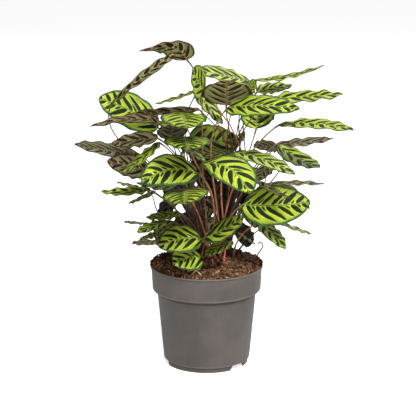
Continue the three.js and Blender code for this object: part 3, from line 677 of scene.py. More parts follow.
# name, joint with the stalk, middle of the midrib, tip, width, roll about the length in
# degrees, and what isn't as in the plain form: twist along the length, height of the
# margin's waves, and belly (the lower, the nearer to its joint a blade is widest)
LEAVES = [
    # the crown
    ("top1", (-0.029, -0.005, 0.466), (-0.051, -0.03, 0.488), (-0.097, -0.06, 0.488),
     0.04, 38, dict(twist=-24, belly=0.7)),
    ("top2", (-0.14, -0.025, 0.403), (-0.09, -0.045, 0.45), (-0.042, -0.062, 0.487),
     0.022, -30, dict(twist=-40)),
    ("top3", (-0.073, 0.03, 0.357), (-0.117, 0.022, 0.386), (-0.161, 0.02, 0.403), 0.061, -50),
    ("top4", (-0.011, 0.002, 0.39), (-0.066, -0.006, 0.388), (-0.121, -0.016, 0.385), 0.044, 28),
    ("top5", (-0.067, -0.045, 0.377), (-0.107, -0.054, 0.388), (-0.169, -0.062, 0.378), 0.042, 29),
    ("top6", (0.029, -0.005, 0.398), (0.029, -0.05, 0.426), (0.029, -0.085, 0.45), 0.074),
    ("top7", (-0.004, 0.002, 0.417), (-0.012, -0.015, 0.435), (-0.021, -0.038, 0.457), 0.05, -90),
    ("top8", (-0.014, 0.034, 0.409), (0.002, 0.022, 0.393), (0.023, 0.006, 0.367), 0.042, -5),
    ("top9", (0.065, 0.064, 0.421), (0.027, 0.046, 0.433), (-0.014, 0.028, 0.445), 0.056, -20),
    ("top10", (0.075, 0.076, 0.421), (0.126, 0.064, 0.429), (0.176, 0.05, 0.448), 0.032, 5),
    ("top11", (0.058, 0.014, 0.413), (0.066, 0.012, 0.421), (0.074, 0.008, 0.432), 0.034, 40),
    ("top12", (0.077, 0.088, 0.4), (0.1, 0.094, 0.405), (0.131, 0.1, 0.408), 0.044, 10),
    ("top13", (-0.016, 0.06, 0.407), (-0.043, 0.07, 0.395), (-0.079, 0.08, 0.383), 0.032, -5),
    # the right side
    ("right1", (0.089, 0.004, 0.406), (0.143, -0.006, 0.411), (0.2, -0.018, 0.417),
     0.048, 10, dict(wave=0.0024)),
    ("right2", (0.032, -0.058, 0.406), (0.079, -0.078, 0.412), (0.133, -0.092, 0.41),
     0.06, 20, dict(belly=0.7)),
    ("right3", (0.074, 0.012, 0.359), (0.077, 0.044, 0.372), (0.085, 0.085, 0.38),
     0.052, 0, dict(belly=0.95)),
    ("right4", (0.106, -0.056, 0.38), (0.154, -0.093, 0.389), (0.207, -0.134, 0.388), 0.04, 10),
    ("right5", (0.104, 0.02, 0.334), (0.147, 0.04, 0.332), (0.192, 0.06, 0.333), 0.046, -30),
    ("right6", (0.113, 0.055, 0.32), (0.093, 0.062, 0.321), (0.072, 0.07, 0.318), 0.046, 35),
    ("right7", (0.107, -0.005, 0.336), (0.136, -0.025, 0.321), (0.165, -0.05, 0.314), 0.046, 5),
    ("right8", (0.04, -0.04, 0.335), (0.08, -0.066, 0.331), (0.127, -0.098, 0.315), 0.046, 5),
    ("right9", (0.091, 0, 0.308), (0.083, 0.01, 0.292), (0.073, 0.02, 0.275), 0.046, 5),
    ("right10", (0.084, 0.04, 0.266), (0.13, 0.05, 0.266), (0.18, 0.06, 0.262), 0.038, -25),
    ("right11", (0.07, -0.03, 0.289), (0.09, -0.06, 0.286), (0.121, -0.09, 0.278), 0.028, -45),
    ("right12", (0.054, -0.04, 0.256), (0.101, -0.055, 0.258), (0.152, -0.06, 0.265), 0.068, 50),
    ("right13", (0.103, 0.04, 0.209), (0.13, 0.055, 0.195), (0.162, 0.08, 0.179), 0.034, 10),
    ("right14", (0.079, -0.02, 0.224), (0.096, -0.04, 0.212), (0.116, -0.06, 0.193), 0.038, -5),
    ("right15", (0.044, 0.02, 0.199), (0.06, 0.025, 0.186), (0.075, 0.03, 0.175), 0.018, 10),
    ("right16", (0.083, 0, 0.269), (0.123, 0, 0.27), (0.154, 0, 0.238), 0.04, -25),
    # the left side
    ("left1", (-0.103, 0.02, 0.32), (-0.15, 0.052, 0.317), (-0.202, 0.084, 0.318), 0.058, 37),
    ("left2", (-0.072, -0.02, 0.352), (-0.105, -0.026, 0.35), (-0.14, -0.032, 0.346), 0.052, 38),
    ("left3", (-0.052, 0.025, 0.34), (-0.051, -0.004, 0.359), (-0.046, -0.032, 0.375), 0.046),
    ("left4", (-0.07, -0.04, 0.35), (-0.094, -0.055, 0.33), (-0.123, -0.07, 0.31), 0.046, 10),
    ("left5", (-0.086, 0.038, 0.286), (-0.116, 0.04, 0.295), (-0.151, 0.042, 0.302), 0.054, 55),
    ("left6", (-0.085, 0, 0.268), (-0.121, 0.01, 0.263), (-0.159, 0.02, 0.261), 0.04, -5),
    ("left7", (-0.094, 0.08, 0.249), (-0.117, 0.094, 0.251), (-0.139, 0.108, 0.254), 0.03, 10),
    ("left8", (-0.078, 0.03, 0.256), (-0.098, 0.04, 0.246), (-0.118, 0.055, 0.235), 0.04, -10),
    ("left9", (-0.045, -0.03, 0.281), (-0.074, -0.045, 0.285), (-0.103, -0.055, 0.292), 0.044, -5),
    ("left10", (-0.04, -0.02, 0.238), (-0.065, -0.025, 0.234), (-0.09, -0.03, 0.233), 0.044, -2),
    ("left11", (-0.053, -0.04, 0.231), (-0.076, -0.06, 0.229), (-0.1, -0.08, 0.223), 0.046, 5),
    ("left12", (-0.073, 0, 0.198), (-0.086, 0.01, 0.194), (-0.1, 0.02, 0.188), 0.036, -10),
    ("left13", (-0.071, 0.03, 0.18), (-0.092, 0.045, 0.173), (-0.115, 0.06, 0.167), 0.036, 25),
    ("left14", (-0.093, 0.06, 0.2), (-0.11, 0.08, 0.195), (-0.127, 0.1, 0.19), 0.03, 20),
    # the middle
    ("cen1", (-0.038, -0.015, 0.389), (-0.033, -0.068, 0.39), (-0.028, -0.122, 0.388), 0.068),
    ("cen2", (-0.032, -0.03, 0.356), (-0.028, -0.085, 0.36), (-0.026, -0.138, 0.361), 0.068),
    ("cen3", (-0.025, 0.042, 0.331), (0.011, 0.055, 0.33), (0.049, 0.068, 0.332), 0.072, 35),
    ("cen4", (-0.03, -0.05, 0.283), (-0.03, -0.112, 0.289), (-0.031, -0.168, 0.289),
     0.07, 8, dict(wave=0.0022)),
    ("cen5", (0.05, 0.088, 0.32), (0.054, 0.094, 0.328), (0.057, 0.098, 0.338), 0.026, -35),
    ("cen6", (-0.033, -0.02, 0.337), (-0.019, -0.04, 0.332), (-0.002, -0.06, 0.325), 0.03, -15),
    ("cen7", (0.044, 0.014, 0.317), (0.015, 0.006, 0.322), (-0.014, 0, 0.322), 0.044, -5),
    # the front
    ("front1", (-0.013, -0.06, 0.308), (-0.052, -0.08, 0.318), (-0.094, -0.098, 0.303),
     0.062, -35),
    ("front2", (-0.008, -0.075, 0.325), (0.032, -0.1, 0.325), (0.061, -0.138, 0.297),
     0.064, 15, dict(belly=1.15)),
    ("front3", (-0.002, -0.07, 0.214), (0.027, -0.078, 0.229), (0.054, -0.08, 0.248), 0.05, 25),
    ("front4", (0.036, -0.05, 0.203), (0.015, -0.065, 0.195), (-0.002, -0.075, 0.187), 0.044, 5),
    ("front5", (-0.009, -0.06, 0.209), (-0.039, -0.072, 0.212), (-0.071, -0.08, 0.202),
     0.058, -30),
    ("front6", (-0.008, -0.055, 0.179), (-0.029, -0.07, 0.182), (-0.049, -0.08, 0.175), 0.05, -35),
    # the back
    ("back1", (-0.016, 0.08, 0.316), (-0.011, 0.122, 0.308), (-0.006, 0.15, 0.268), 0.06),
    ("back2", (-0.047, 0.07, 0.292), (-0.066, 0.106, 0.282), (-0.082, 0.128, 0.24), 0.058),
    ("back3", (0.033, 0.07, 0.288), (0.054, 0.106, 0.278), (0.072, 0.13, 0.238), 0.056),
    ("back4", (-0.006, 0.072, 0.236), (-0.009, 0.106, 0.224), (-0.012, 0.124, 0.178), 0.062),
    ("back5", (0.046, 0.07, 0.226), (0.062, 0.092, 0.214), (0.076, 0.104, 0.18), 0.05),
    ("back6", (-0.046, 0.066, 0.196), (-0.06, 0.09, 0.186), (-0.07, 0.104, 0.152), 0.052),
    ("back7", (-0.028, 0.062, 0.268), (-0.04, 0.096, 0.258), (-0.054, 0.118, 0.212), 0.06),
    ("back8", (0.014, 0.062, 0.262), (0.022, 0.098, 0.252), (0.032, 0.12, 0.206), 0.06),
    ("back9", (0.016, 0.1, 0.384), (0.027, 0.128, 0.387), (0.04, 0.154, 0.38), 0.05),
    ("back10", (-0.043, 0.06, 0.35), (-0.059, 0.096, 0.35), (-0.076, 0.132, 0.345), 0.05),
    ("back11", (0.06, 0.095, 0.374), (0.075, 0.131, 0.373), (0.093, 0.168, 0.37), 0.048),
    ("back12", (-0.003, 0.066, 0.204), (0.008, 0.096, 0.196), (0.02, 0.112, 0.156), 0.056),
    # the back, low in the middle of the clump
    ("back13", (-0.04, 0.062, 0.247), (-0.055, 0.076, 0.231), (-0.066, 0.086, 0.199), 0.05),
    ("back14", (0.043, 0.062, 0.206), (0.054, 0.074, 0.184), (0.062, 0.082, 0.155), 0.05),
    ("back15", (0.02, 0.06, 0.253), (0.027, 0.068, 0.229), (0.03, 0.072, 0.189), 0.048),
    ("back16", (0.051, 0.062, 0.268), (0.061, 0.074, 0.24), (0.069, 0.082, 0.196), 0.046),
    ("back17", (-0.006, 0.06, 0.303), (-0.003, 0.068, 0.282), (-0.001, 0.074, 0.246), 0.048),
    ("back18", (-0.026, 0.06, 0.218), (-0.029, 0.07, 0.196), (-0.032, 0.076, 0.16), 0.048),
]
PLAIN_FORM = dict(twist=0, fold=8, curl=0.12, wave=0.0014, belly=0.86)
WAVE_STATION = 0.125
RIB_HEIGHT = 0.00032
MIDRIB_HALF = 0.0009
MIDRIB_ABOVE = 0.00035
MIDRIB_BELOW = 0.0007
BLADE_THICKNESS = 0.0005
BLADE_ROWS = 52
BLADE_COLUMNS = 12  # on each side of the midrib
COLUMN_CROWDING = 1.35  # above 1, the columns crowd towards the midrib
PATCH_SPACING = 0.018  # along the midrib, from one dark patch to the next
FEWEST_PATCHES, MOST_PATCHES = 4, 7  # on each side of the midrib
FINE_VEIN_BEAT = 37.7  # radians of the fine veins' wave from one patch to the next
SCALLOP_BEAT = 18.85  # the same for the scalloped margin
# leaves in shade, whose finishes are copies darkened as painted shade
SHADED_LEAVES = ("cen3", "left3", "back7", "back8")
DEEP_SHADE_FRONT, DEEP_SHADE_TOP = 0.064, 0.34  # the back's leaves before and below these get deeper painted shade
PAINTED_SHADE_TONE, DEEP_PAINTED_SHADE_TONE = 0.7, 0.42
UPPER_GLOSS, UNDER_GLOSS = 0.3, 0.18

UPPER_COLOURS = dict(
    light=(208, 224, 46), light_deep=(128, 164, 40), light_pale=(228, 236, 112),
    dark=(12, 30, 16), dark_warm=(28, 50, 22), margin=(50, 98, 40),
    rib=(110, 134, 58), rim=(104, 122, 72))
UNDER_COLOURS = dict(
    light=(170, 180, 108), light_deep=(124, 110, 82), light_pale=(222, 216, 182),
    dark=(46, 22, 19), dark_warm=(84, 42, 32), margin=(60, 36, 30),
    rib=(150, 92, 60), rim=(92, 66, 54))


class Blade:
    """The shape of one blade. A place on it is s along, 0 to 1, and v across, -1 to 1."""

    def __init__(self, order, name, joint, middle, tip, width, roll=0, form=()):
        self.order, self.name = order, name
        self.form = {**PLAIN_FORM, "width": width, "roll": roll, **dict(form)}
        self.joint, self.tip = np.array(joint), np.array(tip)
        self.control = 2 * np.array(middle) - (self.joint + self.tip) / 2
        chord = self.tip - self.joint
        self.length = np.linalg.norm(chord)
        chord = chord / self.length
        lift = np.array((0, 0, 1)) - chord * chord[2]
        self.lift = lift / np.linalg.norm(lift)
        self.side = np.cross(chord, self.lift)
        self.fused = name.startswith("back")

    def age_and_shade(self):
        """0 for a lit leaf, 1 for one in painted shade, 2 for the ones low in the middle, in
        deeper painted shade.
        """
        if self.fused and self.joint[1] < DEEP_SHADE_FRONT and self.joint[2] < DEEP_SHADE_TOP:
            return 2
        return 1 if self.name in SHADED_LEAVES else 0

    def midrib(self, s):
        s = np.asarray(s, float)[..., None]
        return (1 - s) ** 2 * self.joint + 2 * s * (1 - s) * self.control + s * s * self.tip

    def axes(self, s):
        """Along the midrib, across the blade and up from it."""
        s = np.asarray(s, float)[..., None]
        along = 2 * (1 - s) * (self.control - self.joint) + 2 * s * (self.tip - self.control)
        along = along / np.linalg.norm(along, axis=-1, keepdims=True)
        turn = np.radians(self.form["roll"] + self.form["twist"] * (s - 0.5))
        across = self.side * np.cos(turn) - self.lift * np.sin(turn)
        across = across - along * np.sum(across * along, axis=-1, keepdims=True)
        across = across / np.linalg.norm(across, axis=-1, keepdims=True)
        return along, across, np.cross(across, along)

    def half_width(self, s):
        """Half the blade's width, from the rounded base to the pointed tip."""
        rise = np.maximum(np.sin(np.pi * s ** self.form["belly"]), 0)
        return self.form["width"] / 2 * rise ** (0.5 + 0.12 * s**4)

    def place(self, s, v, detail=0.0):
        """A point of the blade's middle skin; detail 1 adds what the solid leaves out."""
        form, half = self.form, self.half_width(s)
        fade = np.minimum(1, half / (form["width"] * 0.3))
        slope = math.radians(form["fold"])
        beat = np.cos(np.pi * s / WAVE_STATION)
        ripple = form["wave"] * v * v * fade * beat
        if detail:
            phase = 2.1 * self.order + 1.7 * np.sign(v)
            swell = 0.7 + 0.5 * np.sin(7.3 * s + phase) * np.sin(3.1 * s + 2 * phase)
            fine = 0.25 * np.abs(v) ** 3 * np.sin(34 * s + 2 * phase)
            ripple = ripple * swell + form["wave"] * fine * fade
            ribs = np.cos(2 * np.pi * self.vein(s, v)) * np.sin(np.pi * np.abs(v) ** 0.6)
            ripple = ripple - RIB_HEIGHT * ribs * fade
        height = half * (np.abs(v) * math.sin(slope) - form["curl"] * v * v) + ripple
        _, across, up = self.axes(s)
        spot = self.midrib(s) + across * (half * v * math.cos(slope))[..., None]
        return spot + up * height[..., None]

    def ends(self, lift):
        """The points at the joint and the tip, lifted off the middle skin."""
        return [self.midrib(t) + self.axes(t)[2] * lift for t in (0.0, 1.0)]

    def vein(self, s, v):
        """Which side vein a point is on: whole numbers are a dark patch's middle line."""
        reach = self.half_width(s) / self.length
        spread = np.abs(v)
        start = s - reach * (0.72 * spread + 0.42 * spread * spread)
        wander = 0.1 * np.sin(9 * s + 2 * self.order + 3 * v)
        count = min(MOST_PATCHES, max(FEWEST_PATCHES, round(self.length / PATCH_SPACING)))
        return start * count + wander + 0.45 * (v > 0) + 0.3 * math.sin(self.order)


BLADES = [Blade(order, *leaf) for order, leaf in enumerate(LEAVES)]


def skin_columns(rows, columns):
    """A blade's face as columns of faces, over a grid of points that comes between the
    joint's point, number 0, and the tip's."""
    skin = []
    for column in range(1, columns):
        pairs = [(row * columns + column, row * columns + column + 1) for row in range(rows)]
        quads = [(a, b, d, c) for (a, b), (c, d) in zip(pairs, pairs[1:])]
        skin.append([(0, column + 1, column), *quads, (*pairs[-1], rows * columns + 1)])
    return skin


def blade_mesh(blade):
    """Both faces of a blade on one grid, with a ridge under the midrib: points, faces,
    each face's side of the midrib and of the blade, and each point's row and column."""
    rows, columns = BLADE_ROWS - 1, 2 * BLADE_COLUMNS + 1
    s = (1 - np.cos(np.pi * np.arange(1, BLADE_ROWS) / BLADE_ROWS)) / 2
    step = np.arange(-BLADE_COLUMNS, BLADE_COLUMNS + 1) / BLADE_COLUMNS
    v = np.sign(step) * np.abs(step) ** COLUMN_CROWDING
    s, v = np.meshgrid(s, v, indexing="ij")
    middle = blade.place(s, v, detail=1.0)
    _, _, up = blade.axes(s)
    from_rib = np.abs(v) * blade.half_width(s)
    ridge = np.exp(-((from_rib / MIDRIB_HALF) ** 2)) * (1 - 0.6 * s)
    thin = BLADE_THICKNESS / 2
    over = middle + up * (thin - MIDRIB_ABOVE * ridge)[..., None]
    under = middle - up * (thin + MIDRIB_BELOW * ridge)[..., None]
    points, faces, sides = [], [], []
    for grid, sign in ((over, 1), (under, -1)):
        start = len(points)
        first, last = blade.ends(thin * sign)
        points += [first, *grid.reshape(-1, 3), last]
        for column, skin in enumerate(skin_columns(rows, columns)):
            faces += shifted(skin if sign > 0 else [face[::-1] for face in skin], start)
            sides += [(column < BLADE_COLUMNS, sign < 0)] * len(skin)
    count = len(points) // 2
    left = [1 + row * columns for row in range(rows)]
    right = [corner + columns - 1 for corner in reversed(left)]
    rim = [0, *left, count - 1, *right]
    for a, b in zip(rim, rim[1:] + rim[:1]):
        faces.append((a, b, b + count, a + count))
        sides.append((True, True))
    at_s = np.concatenate([[0.0], s.ravel(), [1.0]] * 2)
    at_v = np.concatenate([[0.0], v.ravel(), [0.0]] * 2)
    return points, faces, sides, at_s, at_v


def mapped(finish, label):
    """The pair of values that a UV map gives at a point."""
    where = finish.node("UVMap", {}, uv_map=label).outputs[0]
    return finish.node("SeparateXYZ", {0: where}).outputs[:2]


def leaf_finish(name, gloss, light, light_deep, light_pale, dark, dark_warm, margin, rib, rim):
    """The peacock pattern in one face's colours, drawn along the blade's side veins."""
    finish = Finish(name, Specular_IOR_Level=gloss, Subsurface_Weight=0.12,
                    Subsurface_Scale=0.002, Subsurface_Radius=(0.5, 0.8, 0.15))
    place = finish.place()
    vein, spread = mapped(finish, "veins")
    inset, _ = mapped(finish, "margin")
    cloud = finish.noise(place, 70.0, 3.0)
    fray = finish.noise(place, 420.0, 3.0, 0.6)
    vein = finish.math("ADD", vein, finish.line(fray, 0.16, -0.08))

    def lens(middle, start, end, width):
        """1 inside a lens along a vein, from start to end across the blade."""
        share = finish.math("DIVIDE", finish.math("SUBTRACT", spread, start),
                            finish.math("SUBTRACT", end, start))
        share = finish.math("MAXIMUM", finish.math("MINIMUM", share, 1.0), 0.0)
        share = finish.math("POWER", share, 0.72)
        swell = finish.times(share, finish.math("SUBTRACT", 1.0, share))
        swell = finish.math("POWER", finish.times(swell, 4.0), 0.5)
        inside = finish.line(swell, width, finish.times(middle, -1.0))
        return finish.step(inside, -0.012, 0.02)

    def chance(shift):
        number = finish.math("FLOOR", finish.math("ADD", vein, shift))
        return finish.node("TexWhiteNoise", {"W": finish.math("ADD", number, shift)},
                           noise_dimensions="1D").outputs["Value"]

    def from_middle(shift):
        part = finish.math("FRACT", finish.math("ADD", vein, shift))
        return finish.math("ABSOLUTE", finish.math("SUBTRACT", part, 0.5))

    # the large patches, the thin line from each to the margin, and the ovals between
    large, small = chance(0.0), chance(0.5)
    patch_end, patch_width = finish.line(large, 0.16, 0.74), finish.line(large, 0.07, 0.25)
    patches = lens(from_middle(0.0), 0.04, patch_end, patch_width)
    line = finish.step(from_middle(0.0), 0.045, 0.02)
    line = finish.times(line, finish.step(spread, 0.55, 0.66))
    oval_end, oval_width = finish.line(small, 0.22, 0.17), finish.step(small, 0.1, 0.4)
    ovals = lens(from_middle(0.5), 0.05, oval_end, finish.times(oval_width, 0.13))
    dark_share = finish.math("MAXIMUM", patches, finish.math("MAXIMUM", ovals, line))

    # fine side veins feather out of a margin that is scalloped along them
    beat = finish.math("COSINE", finish.times(vein, FINE_VEIN_BEAT))
    feather = finish.line(finish.step(spread, 0.42, 0.98), -1.2, 1.12)
    feather = finish.step(finish.math("SUBTRACT", beat, feather), -0.1, 0.35)
    scallop = finish.math("COSINE", finish.times(vein, SCALLOP_BEAT))
    depth = finish.line(scallop, 0.035, 0.09)
    depth = finish.line(fray, 0.06, depth)
    margin_share = finish.step(finish.math("SUBTRACT", depth, inset), -0.04, 0.03)
    inset_share = finish.math("MAXIMUM", margin_share, finish.times(feather, 0.72))
    from_rib = finish.math("DIVIDE", finish.times(inset, spread),
                           finish.math("SUBTRACT", 1.002, spread))
    rib_share = finish.step(from_rib, 0.05, 0.02)

    stripes = finish.line(beat, 0.3, cloud)
    ground = finish.mix(finish.step(stripes, 0.38, 0.78), light, light_deep)
    pale = finish.times(finish.step(from_middle(0.25), 0.2, 0.02), 0.5)
    ground = finish.mix(pale, ground, light_pale)
    greens = finish.mix(inset_share, ground, margin)
    deep = finish.mix(finish.step(cloud, 0.4, 0.75), dark, dark_warm)
    patterned = finish.mix(dark_share, greens, deep)
    patterned = finish.mix(finish.times(rib_share, 0.85), patterned, rib)
    edge_share = finish.times(finish.step(inset, 0.03, 0.0), 0.6)
    finish.set(Base_Color=finish.mix(edge_share, patterned, rim))
    rough = finish.line(dark_share, 0.1, 0.52 - 0.4 * gloss)
    finish.set(Roughness=finish.line(cloud, 0.12, rough))
    fine = finish.bump(finish.noise(place, 1600.0, 2.0), 0.00012, 0.5)
    finish.set(Normal=finish.bump(beat, 0.00025, 0.6, Normal=fine))
    return finish.material


def leaf_faces(name, shade):
    """The finishes of a leaf's upper and under face, darkened by the shade factor as painted
    shade.
    """
    faces = []
    for side, gloss, colours in (("upper", UPPER_GLOSS, UPPER_COLOURS),
                                 ("under", UNDER_GLOSS, UNDER_COLOURS)):
        shaded = {part: colour([channel * shade for channel in rgb])
                for part, rgb in colours.items()}
        faces.append(leaf_finish(f"{name}_{side}_face", gloss, **shaded))
    return faces


# lit copies of the leaf finishes, and copies darkened as painted shade and as deeper painted shade
leaf_skins = (leaf_faces("leaf", 1.0) + leaf_faces("dull_leaf", PAINTED_SHADE_TONE)
              + leaf_faces("old_leaf", DEEP_PAINTED_SHADE_TONE))


def uv_map(piece, label, values):
    """Gives the piece a UV map, with one pair of values for each corner of a face."""
    layer = piece.data.uv_layers.new(name=label)
    layer.data.foreach_set("uv", np.array(values, np.float32).ravel())


def blade_piece(name, blades):
    """One object of whole blades, with their vein and margin maps."""
    points, faces, skins, veins, margins = [], [], [], [], []
    for blade in blades:
        own, own_faces, sides, at_s, at_v = blade_mesh(blade)
        # a point on the midrib has a vein on each side
        vein = {}
        for left in (True, False):
            nudged = np.where(np.abs(at_v) < 1e-9, -1e-6 if left else 1e-6, at_v)
            number = 20 * blade.order + 10 * (nudged > 0)
            vein[left] = blade.vein(at_s, nudged) + number
        inset = (1 - np.abs(at_v)) * blade.half_width(at_s) / (blade.form["width"] / 2)
        for face, (left, under) in zip(own_faces, sides):
            skins.append(2 * blade.age_and_shade() + under)
            veins += [(vein[left][corner], abs(at_v[corner])) for corner in face]
            margins += [(inset[corner], at_s[corner]) for corner in face]
        faces += shifted(own_faces, len(points))
        points += own
    used = sorted(set(skins))
    piece = mesh_object(name, points, faces, [leaf_skins[k] for k in used])
    piece.data.polygons.foreach_set("material_index", [used.index(k) for k in skins])
    uv_map(piece, "veins", veins)
    uv_map(piece, "margin", margins)
    piece.data.update()
    return piece


for blade in BLADES:
    if not blade.fused:
        piece = blade_piece(f"blade_{blade.name}", [blade])
        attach(piece, "root")
        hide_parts(f"leaf_{blade.name}")
back_blades = blade_piece("back_blades", [blade for blade in BLADES if blade.fused])
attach(back_blades, "root")
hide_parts("back_shoot")


# ---- The stalks ----
# Wiry round stalks, each rising out of the rhizome inside a papery sheath and ending
# in a thickened knee under its blade. A stalk bends past every blade in its way, by
# the same rule as the solid's, and is drawn smooth where its neighbours leave room.

CLUMP_TOP = 0.156
CLUMP = dict(x=0.012, y=0.014, radius_x=0.04, radius_y=0.03)
BACK_SHOOT = dict(x=0.006, y=0.06, radius_x=0.022, radius_y=0.013)
ROW_STATIONS = (0.04, 0.125, 0.25, 0.375, 0.5, 0.625, 0.75, 0.875, 0.95)
NARROW_WIDTH = 0.062
SOLID_THICKNESS = 0.0007
LOW_SWAYS = (0, 0.02, 0.04)
HIGH_SWAYS = (0, 0.025, 0.05, 0.08, 0.115)
SWAY_WAYS = 8
STALK_CLEARANCE = 0.0027
STALK_SPACING = 0.004
SAMPLE_STEP = 0.003
JOINT_GAP = 0.001
FUSED_OVERLAP = 0.004
FOOT_SINK = 0.003
FOOT_INSET = 0.007  # from the rhizome's outline to the outermost stalks
FOOT_SCATTER = 0.5  # radians either way, by which a foot leaves its leaf's bearing
INNER_FOOT, OUTER_FOOT = 0.3, 0.85  # shares of the way out, for high and for low leaves
FOOT_SHARE = 1.05  # that share for a joint at the soil, before it is held in these limits
FOOT_FALL = 0.38  # how much higher a joint is whose share is less by 1
OWN_BLADE_FREE = 0.006
STRETCHES = 4
STALK_STEPS = 40
STALK_SIDES = 8
STALK_SLENDER = 0.00125
OLD_THINNER, STALK_TAPER = 0.00025, 0.00015
SHEATH_THICKNESS = 0.0005
SHEATH_END, SHEATH_LONGER = 0.16, 0.1  # of a stalk: the shortest, and what the longest adds
KNEE_THICKNESS = 0.00065
KNEE_DROP = 0.009  # from the joint to the thickest place of the knee
KNEE_REACH = 0.0065
FIRST_RISE = 0.35  # shares of a stalk's length, from its foot and from its joint
LAST_DROP = 0.25
LEAN = 0.9  # how far a stalk's end leans towards the way that its blade heads
SMOOTHNESS = (1.0, 0.7, 0.4, 0.2, 0.0)  # shares of the smooth curve, in the order tried
YOUNG_LIT_FRONT, OLD_SHADED_LEFT = -0.015, -0.036  # young, lit stalks' joints lie before and right of these; the others get painted shade low down

STALK_RUST = (228, 152, 102)
STALK_BROWN = (160, 96, 62)
# the colour of the painted shade on the stalks
STALK_PAINTED_SHADE = (34, 24, 18)
STALK_OLIVE = (132, 124, 70)
SHEATH_PINK = (170, 96, 74)


def unit(vector):
    return vector / np.linalg.norm(vector)


def solid_wall(blade):
    """The upper face as the solid has it, for telling how near a stalk comes."""
    narrow = blade.fused or blade.form["width"] < NARROW_WIDTH
    across = (-1, 0, 1) if narrow else (-1, -0.5, 0, 0.5, 1)
    s, v = np.meshgrid(ROW_STATIONS, across, indexing="ij")
    lift = SOLID_THICKNESS / 2
    grid = blade.place(s, v) + blade.axes(s)[2] * lift
    first, last = blade.ends(lift)
    points = np.array([first, *grid.reshape(-1, 3), last])
    faces = []
    for face in sum(skin_columns(len(ROW_STATIONS), len(across)), []):
        if len(face) == 4:
            a, b, d, c = face
            faces += [(a, b, c), (b, d, c)]
        else:
            faces.append(face)
    tree = BVHTree.FromPolygons([tuple(p) for p in points], faces)
    return blade, tree, points.min(0) - STALK_CLEARANCE, points.max(0) + STALK_CLEARANCE


def stalk_controls(blade, order, shoot, low, high):
    """The five points that a stalk's curve follows, with two of them swayed aside."""
    away = blade.joint - np.array((shoot["x"], shoot["y"], 0))
    bearing = math.atan2(away[1], away[0]) + FOOT_SCATTER * math.sin(7.3 * order)
    reach = FOOT_SHARE - (blade.joint[2] - SOIL_TOP) / FOOT_FALL
    reach = min(OUTER_FOOT, max(INNER_FOOT, reach))
    foot = np.array((
        shoot["x"] + reach * (shoot["radius_x"] - FOOT_INSET) * math.cos(bearing),
        shoot["y"] + reach * (shoot["radius_y"] - FOOT_INSET) * math.sin(bearing),
        CLUMP_TOP - FOOT_SINK,
    ))
    span = blade.joint - foot
    rise = np.linalg.norm(span)
    heading = unit((blade.tip - blade.joint) * (1, 1, 0))
    arrival = unit(unit(span) + LEAN * heading)
    if blade.fused:
        end = blade.joint + blade.axes(0.0)[0] * FUSED_OVERLAP
    else:
        end = blade.joint - arrival * JOINT_GAP
    first = foot + (0, 0, FIRST_RISE * rise) + low
    last = end - LAST_DROP * rise * arrival
    return np.array([foot, first, (first + last) / 2 + high, last, end])


def on_curve(controls, t):
    t = np.asarray(t, float)[..., None]
    shares = [(1 - t) ** 4, 4 * (1 - t) ** 3 * t, 6 * (1 - t) ** 2 * t * t,
              4 * (1 - t) * t**3, t**4]
    return sum(share * control for share, control in zip(shares, controls))


def solid_bends(controls):
    return on_curve(controls, np.linspace(0, 1, STRETCHES + 1))


def along_stretches(controls, t):
    """The same way as the curve's, but straight between the solid's bends."""
    bends, marks = solid_bends(controls), np.linspace(0, 1, STRETCHES + 1)
    return np.stack([np.interp(t, marks, bends[:, axis]) for axis in range(3)], axis=-1)


def solid_samples(controls):
    bends = solid_bends(controls)
    samples = []
    for a, b in zip(bends, bends[1:]):
        steps = math.ceil(np.linalg.norm(b - a) / SAMPLE_STEP)
        samples += [a + (b - a) * k / steps for k in range(steps)]
    return np.array(samples)


def is_clear(samples, own, walls, others):
    """Whether a way keeps off every blade, and off the other samples given."""
    for blade, tree, low, high in walls:
        inside = np.all((samples > low) & (samples < high), axis=1)
        for sample in samples[inside]:
            if blade is own and np.linalg.norm(sample - blade.joint) < OWN_BLADE_FREE:
                continue
            if tree.find_nearest(Vector(sample), STALK_CLEARANCE)[0] is not None:
                return False
    if len(others) == 0:
        return True
    gaps = np.linalg.norm(samples[:, None] - others[None], axis=2)
    return gaps.min() >= STALK_SPACING


def sways(sizes):
    """No sway, and then each size of sway in each of the ways round."""
    ways = [2 * math.pi * way / SWAY_WAYS for way in range(SWAY_WAYS)]
    return [np.zeros(3)] + [np.array(polar(size, way, 0)) for size in sizes[1:] for way in ways]


def stalk_route(blade, order, shoot, walls, others):
    """The first way with room, from no sway to the widest."""
    for high in sways(HIGH_SWAYS):
        for low in sways(LOW_SWAYS):
            controls = stalk_controls(blade, order, shoot, low, high)
            if is_clear(solid_samples(controls), blade, walls, others):
                return controls
    return stalk_controls(blade, order, shoot, np.zeros(3), np.zeros(3))


def stalk_path(blade, controls, walls):
    """As smooth a way as its neighbours leave room for, ending under the midrib."""
    t = np.linspace(0, 1, STALK_STEPS)
    curve, straight = on_curve(controls, t), along_stretches(controls, t)
    for share in SMOOTHNESS:
        path = share * curve + (1 - share) * straight
        if is_clear(path[:-3], blade, walls, ()):
            break
    # the end runs on a little way under the blade, inside its midrib's ridge
    run_on, drop = 0.03, 0.0004
    under_joint = blade.joint - blade.axes(0.0)[2] * drop
    under_rib = blade.midrib(run_on) - blade.axes(run_on)[2] * MIDRIB_BELOW
    return np.vstack([path[:-1], under_joint, under_rib])


